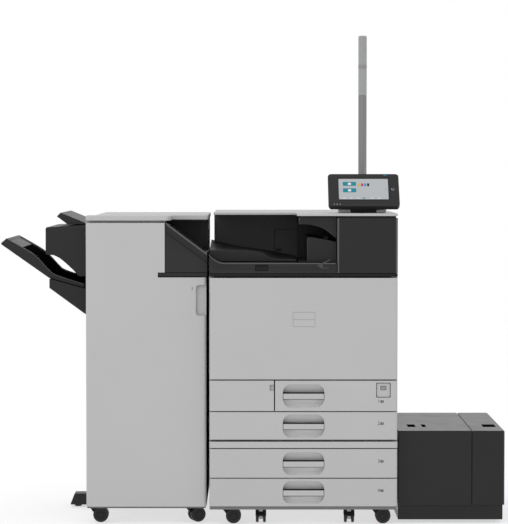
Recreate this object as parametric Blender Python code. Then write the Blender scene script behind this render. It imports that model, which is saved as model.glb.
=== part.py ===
"""Floor-standing colour copier with a floor finisher on its left and a large paper tray on its right.

Units are metres. +X is the operator's right, +Y the machine's back, +Z up. The origin lies on the floor
in the middle of the whole outline. Every joint axis carries an empty, and the pieces that move on it
are its children.
"""

import math

import bmesh
import bpy
from mathutils import Matrix, Vector

# Driving dimensions of the three units
MAIN_WIDTH = 0.587
MAIN_DEPTH = 0.685
ROOF_TOP = 0.974
FINISHER_REACH = 0.659  # shift tray tip to the main unit's left side
LCT_REACH = 0.340  # main unit's right side to the large paper tray's right side

LEFT_END = -(FINISHER_REACH + MAIN_WIDTH + LCT_REACH) / 2
MAIN_LEFT = LEFT_END + FINISHER_REACH
MAIN_RIGHT = MAIN_LEFT + MAIN_WIDTH
LCT_RIGHT = MAIN_RIGHT + LCT_REACH
FRONT = -MAIN_DEPTH / 2
BACK = MAIN_DEPTH / 2

GAP = 0.0005  # between pieces that meet
PANEL = 0.020  # thickness of the front panels and doors
SHELF = PANEL + 0.0015  # where a cabinet starts behind its front panels
PIN_INSET = 0.006  # a door's hinge pin, from its edge and from its face
WALL_LEFT = 0.014
WALL_RIGHT = 0.020
WALL_BACK = 0.014
ENOUGH = 0.05  # how far a cutter runs past the face that it opens

# Heights of the front panels, bottom and top
TRAY_4 = (0.0600, 0.1435)
TRAY_3 = (0.1520, 0.2345)
STRIP = (0.2430, 0.2625)
TRAY_2 = (0.2705, 0.3525)
TRAY_1 = (0.3610, 0.4535)
FRONT_DOOR = (0.4575, 0.7735)
LIP = (0.7775, 0.7875)
MAIN_TOP = 0.7865
RAIL_TOP = 0.8210
TRAY_1_LEFT = 0.0711
WASTE_COVER_RIGHT = 0.0676

# The four drawers: front panel's left edge, its heights, the box's sides and heights, the grip's height
DRAWERS = {
    "tray_1": (TRAY_1_LEFT, TRAY_1, (0.0735, 0.3745), (0.3640, 0.4450), 0.4055),
    "tray_2": (MAIN_LEFT + GAP, TRAY_2, (-0.1175, 0.4305), (0.2715, 0.3500), 0.3109),
    "tray_3": (MAIN_LEFT + GAP, TRAY_3, (-0.1175, 0.4305), (0.1530, 0.2330), 0.1933),
    "tray_4": (MAIN_LEFT + GAP, TRAY_4, (-0.1175, 0.4305), (0.0645, 0.1430), 0.1029),
}
GRIP_X = 0.160
GRIP_WIDTH = 0.1295
GRIP_HEIGHT = 0.0728
GRIP_DEPTH = 0.034
BAR_HEIGHT = 0.020

# The finisher
FIN_LEFT = -0.520
FIN_RIGHT = -0.143
FIN_FRONT = FRONT + 0.025
FIN_BACK = FIN_FRONT + 0.613
FIN_TOP = 0.9505
RECESS_LEFT = -0.2725
RECESS_FLOOR = 0.7895
RECESS_BACK = FRONT + 0.3265

# The large paper tray
LCT_LEFT = MAIN_RIGHT + 0.005
LCT_SPLIT = 0.6885
LCT_FRONT = FRONT + 0.050
LCT_BACK = LCT_FRONT + 0.545
LCT_TOP = 0.2915
LCT_FLOOR = 0.0575

# The touch panel: middle of its face, its tilt back from upright, its size and its hinge
PANEL_MIDDLE = Vector((0.350, FRONT + 0.0875, 1.0435))
PANEL_TILT = math.radians(42)
PANEL_SIZE = (0.223, 0.142, 0.016)
PANEL_PIN = Vector((0.350, FRONT + 0.125, 1.000))

MAST = Vector((0.3705, FRONT + 0.620, ROOF_TOP))

# Casters: swivel axis, direction from it to the wheel, wheel radius, and the height of what they carry
WHEEL = 0.0240
SMALL_WHEEL = 0.0185
CARRY = 0.0560
SWIVEL_CASTERS = {
    "front_left_caster": (-0.081, FRONT + 0.060, 0, "main"),
    "front_right_caster": (0.388, FRONT + 0.060, 0, "main"),
    "finisher_left_caster": (-0.499, FRONT + 0.085, 0, "finisher"),
    "finisher_right_caster": (-0.196, FRONT + 0.085, 20, "finisher"),
}
TRAIL = 0.022
CLEAR = 0.0005  # the levelling feet hold the wheels this far off the floor
FEET = [
    (-0.058, 0.160),
    (0.411, 0.160),
    (-0.058, 0.500),
    (0.411, 0.500),
]  # x, distance behind the front


def behind(distance):
    """Y of what lies this far behind the main unit's front."""
    return FRONT + distance


def material(name, colour, roughness, metallic=0.0):
    made = bpy.data.materials.new(name)
    made.use_nodes = True
    shader = made.node_tree.nodes["Principled BSDF"]
    shader.inputs["Base Color"].default_value = (*colour, 1.0)
    shader.inputs["Roughness"].default_value = roughness
    shader.inputs["Metallic"].default_value = metallic
    return made


def start_scene():
    for obj in list(bpy.data.objects):
        bpy.data.objects.remove(obj)


def place(name, bm, finish):
    """An object made of this bmesh, in the scene."""
    bmesh.ops.recalc_face_normals(bm, faces=bm.faces)
    mesh = bpy.data.meshes.new(name)
    bm.to_mesh(mesh)
    bm.free()
    if finish:
        mesh.materials.append(finish)
    obj = bpy.data.objects.new(name, mesh)
    bpy.context.scene.collection.objects.link(obj)
    return obj


def block(name, x, y, z, finish=None):
    """A box given by its extent along each axis."""
    bm = bmesh.new()
    middle = Vector([sum(side) / 2 for side in (x, y, z)])
    size = [side[1] - side[0] for side in (x, y, z)]
    bmesh.ops.create_cube(
        bm,
        size=1.0,
        matrix=Matrix.Translation(middle) @ Matrix.Diagonal((*size, 1.0)),
    )
    return place(name, bm, finish)


def prism(name, outline, across, place_point, finish=None):
    """An outline of (u, v) points pushed from across[0] to across[1].

    place_point puts (u, v, w) in space.
    """
    bm = bmesh.new()
    near, far = across
    corners = [bm.verts.new(place_point(u, v, near)) for u, v in outline]
    face = bm.faces.new(corners)
    moved = bmesh.ops.extrude_face_region(bm, geom=[face])["geom"]
    step = Vector(place_point(0, 0, far)) - Vector(place_point(0, 0, near))
    bmesh.ops.translate(bm, vec=step, verts=[v for v in moved if isinstance(v, bmesh.types.BMVert)])
    return place(name, bm, finish)


def front_prism(name, outline, y, finish=None):
    """An outline drawn in the front view, as (x, z), and pushed along Y."""
    return prism(name, outline, y, lambda u, v, w: (u, w, v), finish)


def side_prism(name, outline, x, finish=None):
    """An outline drawn in the side view, as (y, z), and pushed along X."""
    return prism(name, outline, x, lambda u, v, w: (w, u, v), finish)


def plan_prism(name, outline, z, finish=None):
    """An outline drawn from above, as (x, y), and pushed along Z."""
    return prism(name, outline, z, lambda u, v, w: (u, v, w), finish)


def turned(name, profile, steps, stand, finish=None):
    """A profile of (radius, height) points turned about the local Z axis; stand puts it in the scene."""
    bm = bmesh.new()
    rings = []
    for radius, height in profile:
        ring = []
        for n in range(steps):
            angle = 2 * math.pi * n / steps
            point = Vector((radius * math.cos(angle), radius * math.sin(angle), height))
            ring.append(bm.verts.new(stand @ point))
        rings.append(ring)
    for low, high in zip(rings, rings[1:]):
        for n in range(steps):
            bm.faces.new((low[n], low[(n + 1) % steps], high[(n + 1) % steps], high[n]))
    bm.faces.new(rings[0])
    bm.faces.new(rings[-1])
    piece = place(name, bm, finish)
    piece.data.shade_smooth()
    piece.data.set_sharp_from_angle(angle=math.radians(40))
    return piece


def hide(helper):
    helper.hide_render = True
    helper.display_type = "WIRE"


def combine(target, helpers, operation):
    for number, helper in enumerate(helpers):
        modifier = target.modifiers.new(f"{operation.lower()}_{number}", "BOOLEAN")
        modifier.operation = operation
        modifier.solver = "EXACT"
        modifier.object = helper
        hide(helper)
    return target


def cut(target, *helpers):
    return combine(target, helpers, "DIFFERENCE")


def join(target, *helpers):
    return combine(target, helpers, "UNION")


def rounded(width, height, radius, middle, steps=4):
    """Outline of a rectangle with round corners."""
    points = []
    for quarter in range(4):
        sx = 1 if quarter in (0, 3) else -1
        sz = 1 if quarter in (0, 1) else -1
        centre = (middle[0] + sx * (width / 2 - radius), middle[1] + sz * (height / 2 - radius))
        for step in range(steps + 1):
            angle = math.pi / 2 * (quarter + step / steps)
            points.append((centre[0] + radius * math.cos(angle), centre[1] + radius * math.sin(angle)))
    return points


def joint(name, where, *pieces, parent=None):
    """An empty on a joint's axis that carries these pieces."""
    empty = bpy.data.objects.new(name, None)
    bpy.context.scene.collection.objects.link(empty)
    empty.matrix_world = Matrix.Translation(Vector(where))
    if parent:
        empty.parent = parent
        empty.matrix_parent_inverse = parent.matrix_basis.inverted()
    for piece in pieces:
        piece.parent = empty
        piece.matrix_parent_inverse = Matrix.Translation(-Vector(where))
    return empty


# ---- casters and feet


def caster_frame(x, y, heading):
    """Local X points from the swivel axis to the wheel, Z stays up."""
    return Matrix.Translation((x, y, 0)) @ Matrix.Rotation(math.radians(heading), 4, "Z")


def hood(name, frame, radius, top, finish=None):
    """The saddle between a caster's twin wheels: it straddles the axle from above."""
    half = 0.0060
    slot = 0.0048
    outline = [
        (-0.012, top),
        (-0.012, top - 0.012),
        (TRAIL - 0.013, radius - 0.007),
        (TRAIL - slot, radius - 0.007),
        (TRAIL - slot, radius + slot),
        (TRAIL + slot, radius + slot),
        (TRAIL + slot, radius - 0.007),
        (TRAIL + 0.012, radius - 0.007),
        (TRAIL + 0.015, radius + 0.006),
        (TRAIL + 0.008, top - 0.005),
        (0.012, top),
    ]
    return prism(name, outline, (-half, half), lambda u, v, w: frame @ Vector((u, w, v)), finish)


def wheels(name, frame, radius, finish):
    """Twin wheels and the axle between them, turned about the axle."""
    inner = 0.0075 if radius == WHEEL else 0.0068
    outer = inner + (0.0120 if radius == WHEEL else 0.0090)
    axle = 0.0038
    profile = [
        (radius, -outer),
        (radius, -inner),
        (axle, -inner),
        (axle, inner),
        (radius, inner),
        (radius, outer),
    ]
    stand = frame @ Matrix.Translation(
        (TRAIL, 0, radius + CLEAR),
    ) @ Matrix.Rotation(math.pi / 2, 4, "X")
    return turned(name, profile, 20, stand, finish)


def swivel_caster(name, parent=None):
    x, y, heading, _ = SWIVEL_CASTERS[name]
    frame = caster_frame(x, y, heading)
    top = CARRY - GAP
    fork = hood(name + "_fork", frame, WHEEL, top, BLACK)
    join(fork, turned(name + "_plate", [(0.014, top - 0.0050), (0.014, top)], 16, frame))
    pair = wheels(name + "_wheels", frame, WHEEL, RUBBER)
    swivel = joint(name + "_swivel", (x, y, CARRY), fork, parent=parent)
    joint(name + "_axle", frame @ Vector((TRAIL, 0, WHEEL + CLEAR)), pair, parent=swivel)


def fixed_caster(name, carrier, x, y, heading, radius, parent=None):
    """Twin wheels whose saddle is part of what carries them."""
    frame = caster_frame(x, y, heading)
    join(carrier, hood(name + "_saddle", frame, radius, CARRY + 0.002))
    pair = wheels(name, frame, radius, RUBBER)
    joint(name + "_axle", frame @ Vector((TRAIL, 0, radius + CLEAR)), pair, parent=parent)


def levelling_foot(name, carrier, x, y):
    profile = [(0.018, 0.0), (0.018, 0.006), (0.008, 0.008), (0.008, CARRY + 0.002)]
    join(carrier, turned(name, profile, 12, Matrix.Translation((x, y, 0))))


# ---- main unit


def feeder_cabinet():
    """Lower cabinet for the two bottom drawers, with the strip above them and the bar below."""
    outline = [
        (FRONT + 0.002, 0.0500),
        (FRONT + 0.016, 0.0500),
        (FRONT + 0.016, CARRY),
        (BACK, CARRY),
        (BACK, STRIP[1]),
        (FRONT, STRIP[1]),
        (FRONT, STRIP[0]),
        (FRONT + SHELF, STRIP[0]),
        (FRONT + SHELF, 0.0585),
        (FRONT + 0.002, 0.0585),
    ]
    cabinet = side_prism("feeder_cabinet", outline, (MAIN_LEFT, MAIN_RIGHT), LIGHT)
    bay_x = (MAIN_LEFT + WALL_LEFT, MAIN_RIGHT - WALL_RIGHT)
    cut(cabinet, block("feeder_bay", bay_x, (FRONT + 0.018, BACK - WALL_BACK), (0.0620, 0.2380)))
    fixed_caster("small_left_wheels", cabinet, 0.0270, behind(0.092), -90, SMALL_WHEEL)
    fixed_caster("small_right_wheels", cabinet, 0.3045, behind(0.092), -90, SMALL_WHEEL)
    fixed_caster("rear_left_wheels", cabinet, -0.0800, behind(0.600), 90, WHEEL)
    fixed_caster("rear_right_wheels", cabinet, 0.3990, behind(0.600), 90, WHEEL)
    for number, (x, distance) in enumerate(FEET):
        levelling_foot(f"foot_{number}", cabinet, x, behind(distance))
    return cabinet


def main_cabinet():
    """Upper cabinet: bays for two drawers and the waste bottle, the engine room and the side opening."""
    y = (FRONT + SHELF, BACK)
    cabinet = block("main_cabinet", (MAIN_LEFT, MAIN_RIGHT), y, (0.2645, MAIN_TOP), LIGHT)
    left, right = MAIN_LEFT + WALL_LEFT, MAIN_RIGHT - WALL_RIGHT
    ahead = FRONT - ENOUGH
    cut(
        cabinet,
        block("tray_2_bay", (left, right), (ahead, BACK - WALL_BACK), (0.2685, 0.3555)),
        block("waste_bay", (left, 0.058), (ahead, BACK - 0.10), (0.3600, 0.4530)),
        block("tray_1_bay", (0.066, 0.3775), (ahead, BACK - WALL_BACK), (0.3600, 0.4530)),
        block("engine_room", (left, right), (ahead, BACK - 0.12), (0.4590, 0.7800)),
        block("side_opening", (right - 0.001, MAIN_RIGHT + ENOUGH), (-0.200, 0.200), (0.310, 0.750)),
    )
    boss = block("switch_boss", (0.389, 0.428), (FRONT + 0.006, FRONT + 0.024), (0.4035, 0.4440))
    join(cabinet, boss)
    pocket = block("switch_pocket", (0.3995, 0.4175), (ahead, FRONT + 0.016), (0.4235, 0.4365))
    pocket_cut = cabinet.modifiers.new("switch_pocket", "BOOLEAN")
    pocket_cut.object = pocket
    hide(pocket)


def power_rocker():
    middle = Vector((0.4085, FRONT + 0.0090, 0.4300))
    rocker = block(
        "power_rocker",
        (0.4005, 0.4165),
        (FRONT + 0.003, FRONT + 0.0105),
        (0.4245, 0.4355),
        BLACK,
    )
    joint("power_rocker_pin", middle, rocker)


def side_doors():
    """The jam access cover in the right side, and the bypass tray folded into it."""
    cover = block(
        "right_cover",
        (MAIN_RIGHT - 0.012, MAIN_RIGHT),
        (-0.1985, 0.1985),
        (0.3115, 0.7485),
        LIGHT,
    )
    cut(
        cover,
        block(
            "bypass_pocket",
            (MAIN_RIGHT - 0.0090, MAIN_RIGHT + ENOUGH),
            (-0.150, 0.150),
            (0.460, 0.700),
        ),
    )
    hinge = joint("right_cover_hinge", (MAIN_RIGHT, 0, 0.3115), cover)
    tray = block(
        "bypass_tray",
        (MAIN_RIGHT - 0.0085, MAIN_RIGHT),
        (-0.1485, 0.1485),
        (0.4615, 0.6985),
        LIGHT,
    )
    joint("bypass_tray_hinge", (MAIN_RIGHT, 0, 0.4615), tray, parent=hinge)


def front_door():
    """Wide front door, hinged at its right edge, with a finger notch in its left edge."""
    door_x = (MAIN_LEFT + GAP, MAIN_RIGHT - GAP)
    door = block("front_door", door_x, (FRONT, FRONT + PANEL), FRONT_DOOR, LIGHT)
    notch_z = (0.671, 0.729)
    outside = MAIN_LEFT - ENOUGH
    cut(
        door,
        block("door_notch", (outside, MAIN_LEFT + 0.003), (FRONT - ENOUGH, FRONT + ENOUGH), notch_z),
        block(
            "door_notch_inner",
            (outside, MAIN_LEFT + 0.016),
            (FRONT + 0.008, FRONT + ENOUGH),
            notch_z,
        ),
    )
    joint("front_door_hinge", (MAIN_RIGHT - PIN_INSET, FRONT + PIN_INSET, FRONT_DOOR[0]), door)


def waste_toner_cover():
    """Small cover left of the top drawer, hinged at its left edge."""
    cover_x = (MAIN_LEFT + GAP, WASTE_COVER_RIGHT)
    cover = block("waste_toner_cover", cover_x, (FRONT, FRONT + PANEL), TRAY_1, LIGHT)
    cut(
        cover,
        block(
            "cover_grip",
            (0.054, WASTE_COVER_RIGHT + ENOUGH),
            (FRONT - ENOUGH, FRONT + 0.008),
            (0.4217, 0.4410),
        ),
    )
    joint("waste_toner_cover_hinge", (MAIN_LEFT + PIN_INSET, FRONT + PIN_INSET, TRAY_1[0]), cover)


def drawer(name):
    """One paper drawer: a front with a grip bar across a deep pocket, and an open-topped box behind it."""
    left, heights, box_x, box_z, grip_z = DRAWERS[name]
    front = block(name + "_front", (left, MAIN_RIGHT - GAP), (FRONT, FRONT + PANEL), heights, LIGHT)
    scoop = block(
        name + "_scoop",
        (GRIP_X - 0.070, GRIP_X + 0.070),
        (FRONT + 0.015, FRONT + 0.038),
        (grip_z - 0.038, grip_z + 0.038),
    )
    join(front, scoop)
    pocket_outline = rounded(GRIP_WIDTH, GRIP_HEIGHT, 0.026, (GRIP_X, grip_z))
    pocket = front_prism(name + "_pocket", pocket_outline, (FRONT - ENOUGH, FRONT + GRIP_DEPTH))
    combine(pocket, [grip_scoop(name, grip_z)], "INTERSECT")
    bar = block(
        name + "_bar",
        (GRIP_X - GRIP_WIDTH / 2 - 0.002, GRIP_X + GRIP_WIDTH / 2 + 0.002),
        (FRONT + 0.002, FRONT + 0.014),
        (grip_z - BAR_HEIGHT / 2, grip_z + BAR_HEIGHT / 2),
    )
    helpers = [("pocket", pocket, "DIFFERENCE"), ("bar", bar, "UNION")]
    if name == "tray_1":
        window = block(
            "switch_window",
            (0.386, 0.431),
            (FRONT - ENOUGH, FRONT + ENOUGH),
            (0.4005, 0.4470),
        )
        helpers.append(("window", window, "DIFFERENCE"))
    for label, helper, operation in helpers:
        modifier = front.modifiers.new(label, "BOOLEAN")
        modifier.operation = operation
        modifier.object = helper
        hide(helper)
    box = drawer_box(name, box_x, box_z)
    joint(name + "_runner", (GRIP_X, FRONT, grip_z), front, box)


def grip_scoop(name, grip_z):
    """Side view of a grip pocket: a slope down behind the bar, then a hollow for fingertips below it."""
    half = GRIP_HEIGHT / 2 + 0.001
    depths = [
        (-ENOUGH, half),
        (0.0010, half),
        (0.0060, 0.0290),
        (0.0120, 0.0190),
        (0.0175, 0.0080),
        (0.0250, -0.0040),
        (0.0320, -0.0140),
        (0.0320, -0.0260),
        (0.0250, -0.0340),
        (0.0120, -half),
        (-ENOUGH, -half),
    ]
    outline = [(FRONT + depth, grip_z + rise) for depth, rise in depths]
    return side_prism(name + "_scoop_shape", outline, (GRIP_X - 0.09, GRIP_X + 0.09))


def drawer_box(name, x, z):
    wall = 0.003
    end = BACK - 0.050
    box = block(name + "_box", x, (FRONT + PANEL + GAP, end), z, DARK)
    inside = (x[0] + wall, x[1] - wall)
    cut(
        box,
        block(name + "_box_inside", inside, (FRONT + 0.063, end - wall), (z[0] + wall, z[1] + ENOUGH)),
        block(
            name + "_box_front",
            inside,
            (FRONT - ENOUGH, FRONT + 0.060),
            (z[0] - ENOUGH, z[1] + ENOUGH),
        ),
    )
    return box


def engine_parts():
    """What the front door and small cover hide: toner bottles, transfer belt, fuser and waste bottle."""
    for number, colour in enumerate(("yellow", "magenta", "cyan", "black")):
        middle = Vector((-0.075 + 0.090 * number, FRONT + 0.030, 0.7350))
        stand = Matrix.Translation(middle) @ Matrix.Rotation(-math.pi / 2, 4, "X")
        profile = [(0.020, 0.0), (0.030, 0.012), (0.030, 0.330), (0.018, 0.345)]
        turned("toner_bottle_" + colour, profile, 16, stand, TONER[colour])
    belt = [(0.250 + 0.035 * math.cos(a), 0.615 + 0.035 * math.sin(a)) for a in half_turn(-90)]
    belt += [(-0.075 + 0.035 * math.cos(a), 0.615 + 0.035 * math.sin(a)) for a in half_turn(90)]
    front_prism("transfer_belt_unit", belt, (behind(0.040), behind(0.420)), DARK)
    fuser = [(0.310, 0.600), (0.415, 0.600), (0.420, 0.650), (0.400, 0.755), (0.320, 0.755)]
    front_prism("fuser_unit", fuser, (behind(0.040), behind(0.420)), DARK)
    block(
        "waste_toner_bottle",
        (-0.112, 0.050),
        (behind(0.030), behind(0.420)),
        (0.3640, 0.4450),
        LIGHT,
    )


def half_turn(start, steps=6):
    """Angles of a half circle in radians, from start in degrees."""
    return [math.radians(start + 180 * n / steps) for n in range(steps + 1)]


def output_housing():
    """Upper rear cover behind the paper bay, open below."""
    x = (MAIN_LEFT + 0.0095, MAIN_RIGHT)
    shell = block("output_housing", x, (behind(0.400), BACK), (MAIN_TOP + GAP, 0.9655), BLACK)
    inside = block(
        "output_housing_inside",
        (x[0] + 0.004, x[1] - 0.004),
        (behind(0.404), BACK - 0.004),
        (MAIN_TOP - ENOUGH, 0.9615),
    )
    cut(shell, inside)


def upper_right_cover():
    x = (0.2635, MAIN_RIGHT)
    shell = block("upper_right_cover", x, (FRONT, behind(0.3995)), (0.7885, 0.9595), BLACK)
    inside_x = (x[0] + 0.004, x[1] - 0.004)
    cut(
        shell,
        block(
            "upper_right_inside",
            inside_x,
            (FRONT + 0.004, behind(0.3955)),
            (0.7885 - ENOUGH, 0.9555),
        ),
    )


def exit_housing():
    """Paper exit of the engine: an arch above a block, with the paper slot between them."""
    left, right = 0.146, 0.2625
    body = block(
        "exit_housing",
        (left, right),
        (behind(0.020), behind(0.3995)),
        (MAIN_TOP + 0.001, 0.9630),
        BLACK,
    )
    slot = [
        (left - ENOUGH, 0.9395),
        (0.170, 0.9400),
        (0.205, 0.9340),
        (0.231, 0.9220),
        (0.258, 0.9005),
        (0.258, 0.8860),
        (0.200, 0.8980),
        (0.172, 0.8990),
        (0.172, MAIN_TOP - 0.004),
        (left - ENOUGH, MAIN_TOP - 0.004),
    ]
    cut(
        body,
        front_prism("paper_slot", slot, (behind(0.0), behind(0.360))),
        block(
            "exit_foot_relief",
            (left - ENOUGH, right + ENOUGH),
            (FRONT, behind(0.0560)),
            (MAIN_TOP - ENOUGH, 0.8215),
        ),
    )


def roof_cover():
    left, step, recess = MAIN_LEFT + 0.0095, 0.139, behind(0.190)
    outline = [
        (left, recess),
        (step, recess),
        (step, FRONT),
        (MAIN_RIGHT, FRONT),
        (MAIN_RIGHT, BACK),
        (left, BACK),
    ]
    plan_prism("roof_cover", outline, (0.966, ROOF_TOP), LIGHT)


def bridge_unit():
    """Relay unit under the paper bay: body, rail rising to the finisher, and the lip above the door."""
    left, right = MAIN_LEFT + GAP, 0.2630
    bottom = MAIN_TOP + GAP
    rail = [
        (left, bottom),
        (right, bottom),
        (right, RAIL_TOP),
        (-0.092, RAIL_TOP),
        (-0.105, 0.8240),
        (-0.118, 0.8320),
        (left, 0.8455),
    ]
    unit = front_prism("bridge_unit", rail, (FRONT + GAP, behind(0.055)), BLACK)
    join(
        unit,
        block("bridge_body", (left, 0.1385), (behind(0.050), behind(0.3945)), (bottom, RAIL_TOP)),
        block("door_lip", (left, MAIN_RIGHT - GAP), (FRONT + 0.003, FRONT + SHELF - GAP), LIP),
    )


def height_at(profile, x):
    """Height of a run of (x, z) points at x, in straight lines between them."""
    for (x0, z0), (x1, z1) in zip(profile, profile[1:]):
        if x <= x1:
            return z0 + (z1 - z0) * (x - x0) / (x1 - x0)
    return profile[-1][1]


def lid_shape(name, x, y, drop, floor, finish=None):
    """A block whose top runs from one wavy profile at the front to another at the back."""
    front = [
        (-0.134, 0.8585),
        (-0.005, 0.8560),
        (0.027, 0.8510),
        (0.042, 0.8415),
        (0.070, 0.8300),
        (0.140, 0.8290),
    ]
    back = [
        (-0.134, 0.8830),
        (-0.097, 0.8710),
        (-0.036, 0.8590),
        (0.034, 0.8490),
        (0.081, 0.8410),
        (0.140, 0.8300),
    ]
    stations = [x[0] + (x[1] - x[0]) * n / 14 for n in range(15)]
    bm = bmesh.new()
    rows = []
    for station in stations:
        tops = [
            bm.verts.new((station, side, height_at(line, station) - drop))
            for side, line in zip(y, (front, back))
        ]
        feet = [bm.verts.new((station, side, floor)) for side in y]
        rows.append((feet[0], tops[0], tops[1], feet[1]))
    for one, two in zip(rows, rows[1:]):
        for n in range(4):
            bm.faces.new((one[n], one[(n + 1) % 4], two[(n + 1) % 4], two[n]))
    bm.faces.new(rows[0])
    bm.faces.new(rows[-1])
    return place(name, bm, finish)


def bridge_lid():
    """Paper deck over the relay unit. It lifts on a pin at its back edge to clear a jam."""
    x, y = (MAIN_LEFT + GAP, 0.1385), (behind(0.0595), behind(0.390))
    lid = lid_shape("bridge_lid", x, y, 0.0, 0.8225, BLACK)
    wall = 0.004
    cut(
        lid,
        lid_shape(
            "bridge_lid_inside",
            (x[0] + wall, x[1] - wall),
            (y[0] + wall, y[1] - wall),
            wall,
            0.80,
        ),
    )
    joint("bridge_lid_pin", (0, behind(0.390), 0.862), lid)


# ---- touch panel and attention light


def panel_frame():
    """Local X along the panel's width, Y up its face, Z out of its face."""
    upright = Matrix.Rotation(math.pi / 2, 4, "X")
    return Matrix.Translation(PANEL_MIDDLE) @ Matrix.Rotation(-PANEL_TILT, 4, "X") @ upright


def touch_panel():
    base = block(
        "panel_base",
        (0.2705, 0.4210),
        (behind(0.100), behind(0.150)),
        (ROOF_TOP + GAP, 0.9840),
        LIGHT,
    )
    for side, x in (("left", (0.2705, 0.3085)), ("right", (0.3920, 0.4210))):
        ear = block(f"panel_ear_{side}", x, (behind(0.105), behind(0.145)), (0.9800, 1.0080))
        modifier = base.modifiers.new(f"ear_{side}", "BOOLEAN")
        modifier.operation = "UNION"
        modifier.object = ear
        hide(ear)
    frame = panel_frame()
    width, height, thick = PANEL_SIZE
    outline = rounded(width, height, 0.010, (0, 0), steps=3)
    housing = prism(
        "panel_housing",
        outline,
        (-thick, 0),
        lambda u,
        v,
        w: frame @ Vector((u, v, w)),
        BLACK,
    )
    neck_outline = [
        (behind(0.070), 1.0080),
        (behind(0.070), 0.9960),
        (behind(0.117), 0.9905),
        (behind(0.133), 0.9905),
        (behind(0.135), 1.0060),
        (behind(0.098), 1.0330),
    ]
    neck = side_prism("panel_neck", neck_outline, (0.3095, 0.3910))
    join(housing, neck)
    key_x, key_y = 0.0917, 0.007
    key_stand = frame @ Matrix.Translation((key_x, key_y, 0))
    key_well = turned("home_key_well", [(0.0052, -0.004), (0.0052, 0.010)], 16, key_stand)
    well_cut = housing.modifiers.new("key_well", "BOOLEAN")
    well_cut.object = key_well
    hide(key_well)
    glass_outline = rounded(0.1553, 0.0850, 0.003, (-0.0005, 0.0065), steps=2)
    glass = prism(
        "panel_display",
        glass_outline,
        (0.0003, 0.0015),
        lambda u,
        v,
        w: frame @ Vector((u, v, w)),
        GLASS,
    )
    key = turned(
        "home_key",
        [(0.0046, -0.0025), (0.0046, 0.0008), (0.0040, 0.0012)],
        16,
        key_stand,
        LIGHT,
    )
    hinge = joint("panel_hinge", PANEL_PIN, housing, glass)
    joint("home_key_guide", frame @ Vector((key_x, key_y, 0)), key, parent=hinge)


def attention_light():
    """Mast on the roof with a two-stage lamp."""
    stand = Matrix.Translation(MAST)
    foot = [(0.030, GAP), (0.030, 0.008), (0.0140, 0.012), (0.0140, 0.3855)]
    turned("mast_pole", foot, 20, stand, ALUMINIUM)
    lens = [
        (0.0145, 0.3860),
        (0.0145, 0.4750),
        (0.0138, 0.4755),
        (0.0138, 0.4875),
        (0.0145, 0.4880),
        (0.0145, 0.5800),
        (0.0120, 0.5860),
    ]
    turned("mast_lens", lens, 20, stand, LENS)


# ---- finisher


def finisher_cabinet():
    """Finisher body: hollow, open behind its door, with a paper recess at its upper right."""
    y = (FIN_FRONT + SHELF, FIN_BACK)
    cabinet = block("finisher_cabinet", (FIN_LEFT, FIN_RIGHT), y, (CARRY, FIN_TOP), LIGHT)
    wall = 0.012
    ahead = FRONT - ENOUGH
    inner_back = FIN_BACK - wall
    cut(
        cabinet,
        block(
            "finisher_room",
            (FIN_LEFT + wall, FIN_RIGHT - wall),
            (ahead, inner_back),
            (0.068, 0.7780),
        ),
        block(
            "finisher_upper_room",
            (FIN_LEFT + wall, RECESS_LEFT - 0.009),
            (ahead, inner_back),
            (0.770, 0.9385),
        ),
        block(
            "finisher_rear_room",
            (RECESS_LEFT - 0.020, FIN_RIGHT - wall),
            (RECESS_BACK + wall, inner_back),
            (0.770, 0.9385),
        ),
        block(
            "finisher_recess",
            (RECESS_LEFT, FIN_RIGHT + ENOUGH),
            (ahead, RECESS_BACK),
            (RECESS_FLOOR, FIN_TOP + ENOUGH),
        ),
        block(
            "finisher_exit_slot",
            (FIN_LEFT - ENOUGH, FIN_LEFT + 0.02),
            (behind(0.160), behind(0.500)),
            (0.790, 0.830),
        ),
    )
    return cabinet


def finisher_covers():
    front_step = RECESS_LEFT + 0.009
    top_outline = [
        (FIN_LEFT, FIN_FRONT),
        (front_step, FIN_FRONT),
        (front_step + 0.010, FIN_FRONT + 0.020),
        (front_step + 0.010, behind(0.145)),
        (FIN_RIGHT + 0.0025, behind(0.145)),
        (FIN_RIGHT + 0.0025, FIN_BACK),
        (FIN_LEFT + 0.024, FIN_BACK),
        (FIN_LEFT + 0.024, behind(0.105)),
        (FIN_LEFT, behind(0.105)),
    ]
    top = plan_prism("finisher_top_cover", top_outline, (FIN_TOP + GAP, 0.9670), LIGHT)
    ramp_right = FIN_RIGHT + 0.0025
    ramp_outline = [
        (RECESS_LEFT + 0.001, 0.7900),
        (ramp_right, 0.7900),
        (ramp_right, 0.8500),
        (RECESS_LEFT + 0.001, 0.9475),
    ]
    ramp = front_prism("finisher_ramp", ramp_outline, (FIN_FRONT + 0.001, RECESS_BACK - 0.0015), BLACK)
    bar_y = (FIN_FRONT + 0.002, FIN_FRONT + SHELF - GAP)
    join(
        ramp,
        block("ramp_bar", (-0.2935, ramp_right), bar_y, (0.7765, 0.7890)),
        block("ramp_bar_web", (RECESS_LEFT + 0.001, ramp_right), bar_y, (0.7850, 0.7950)),
    )
    return top, ramp


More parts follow.
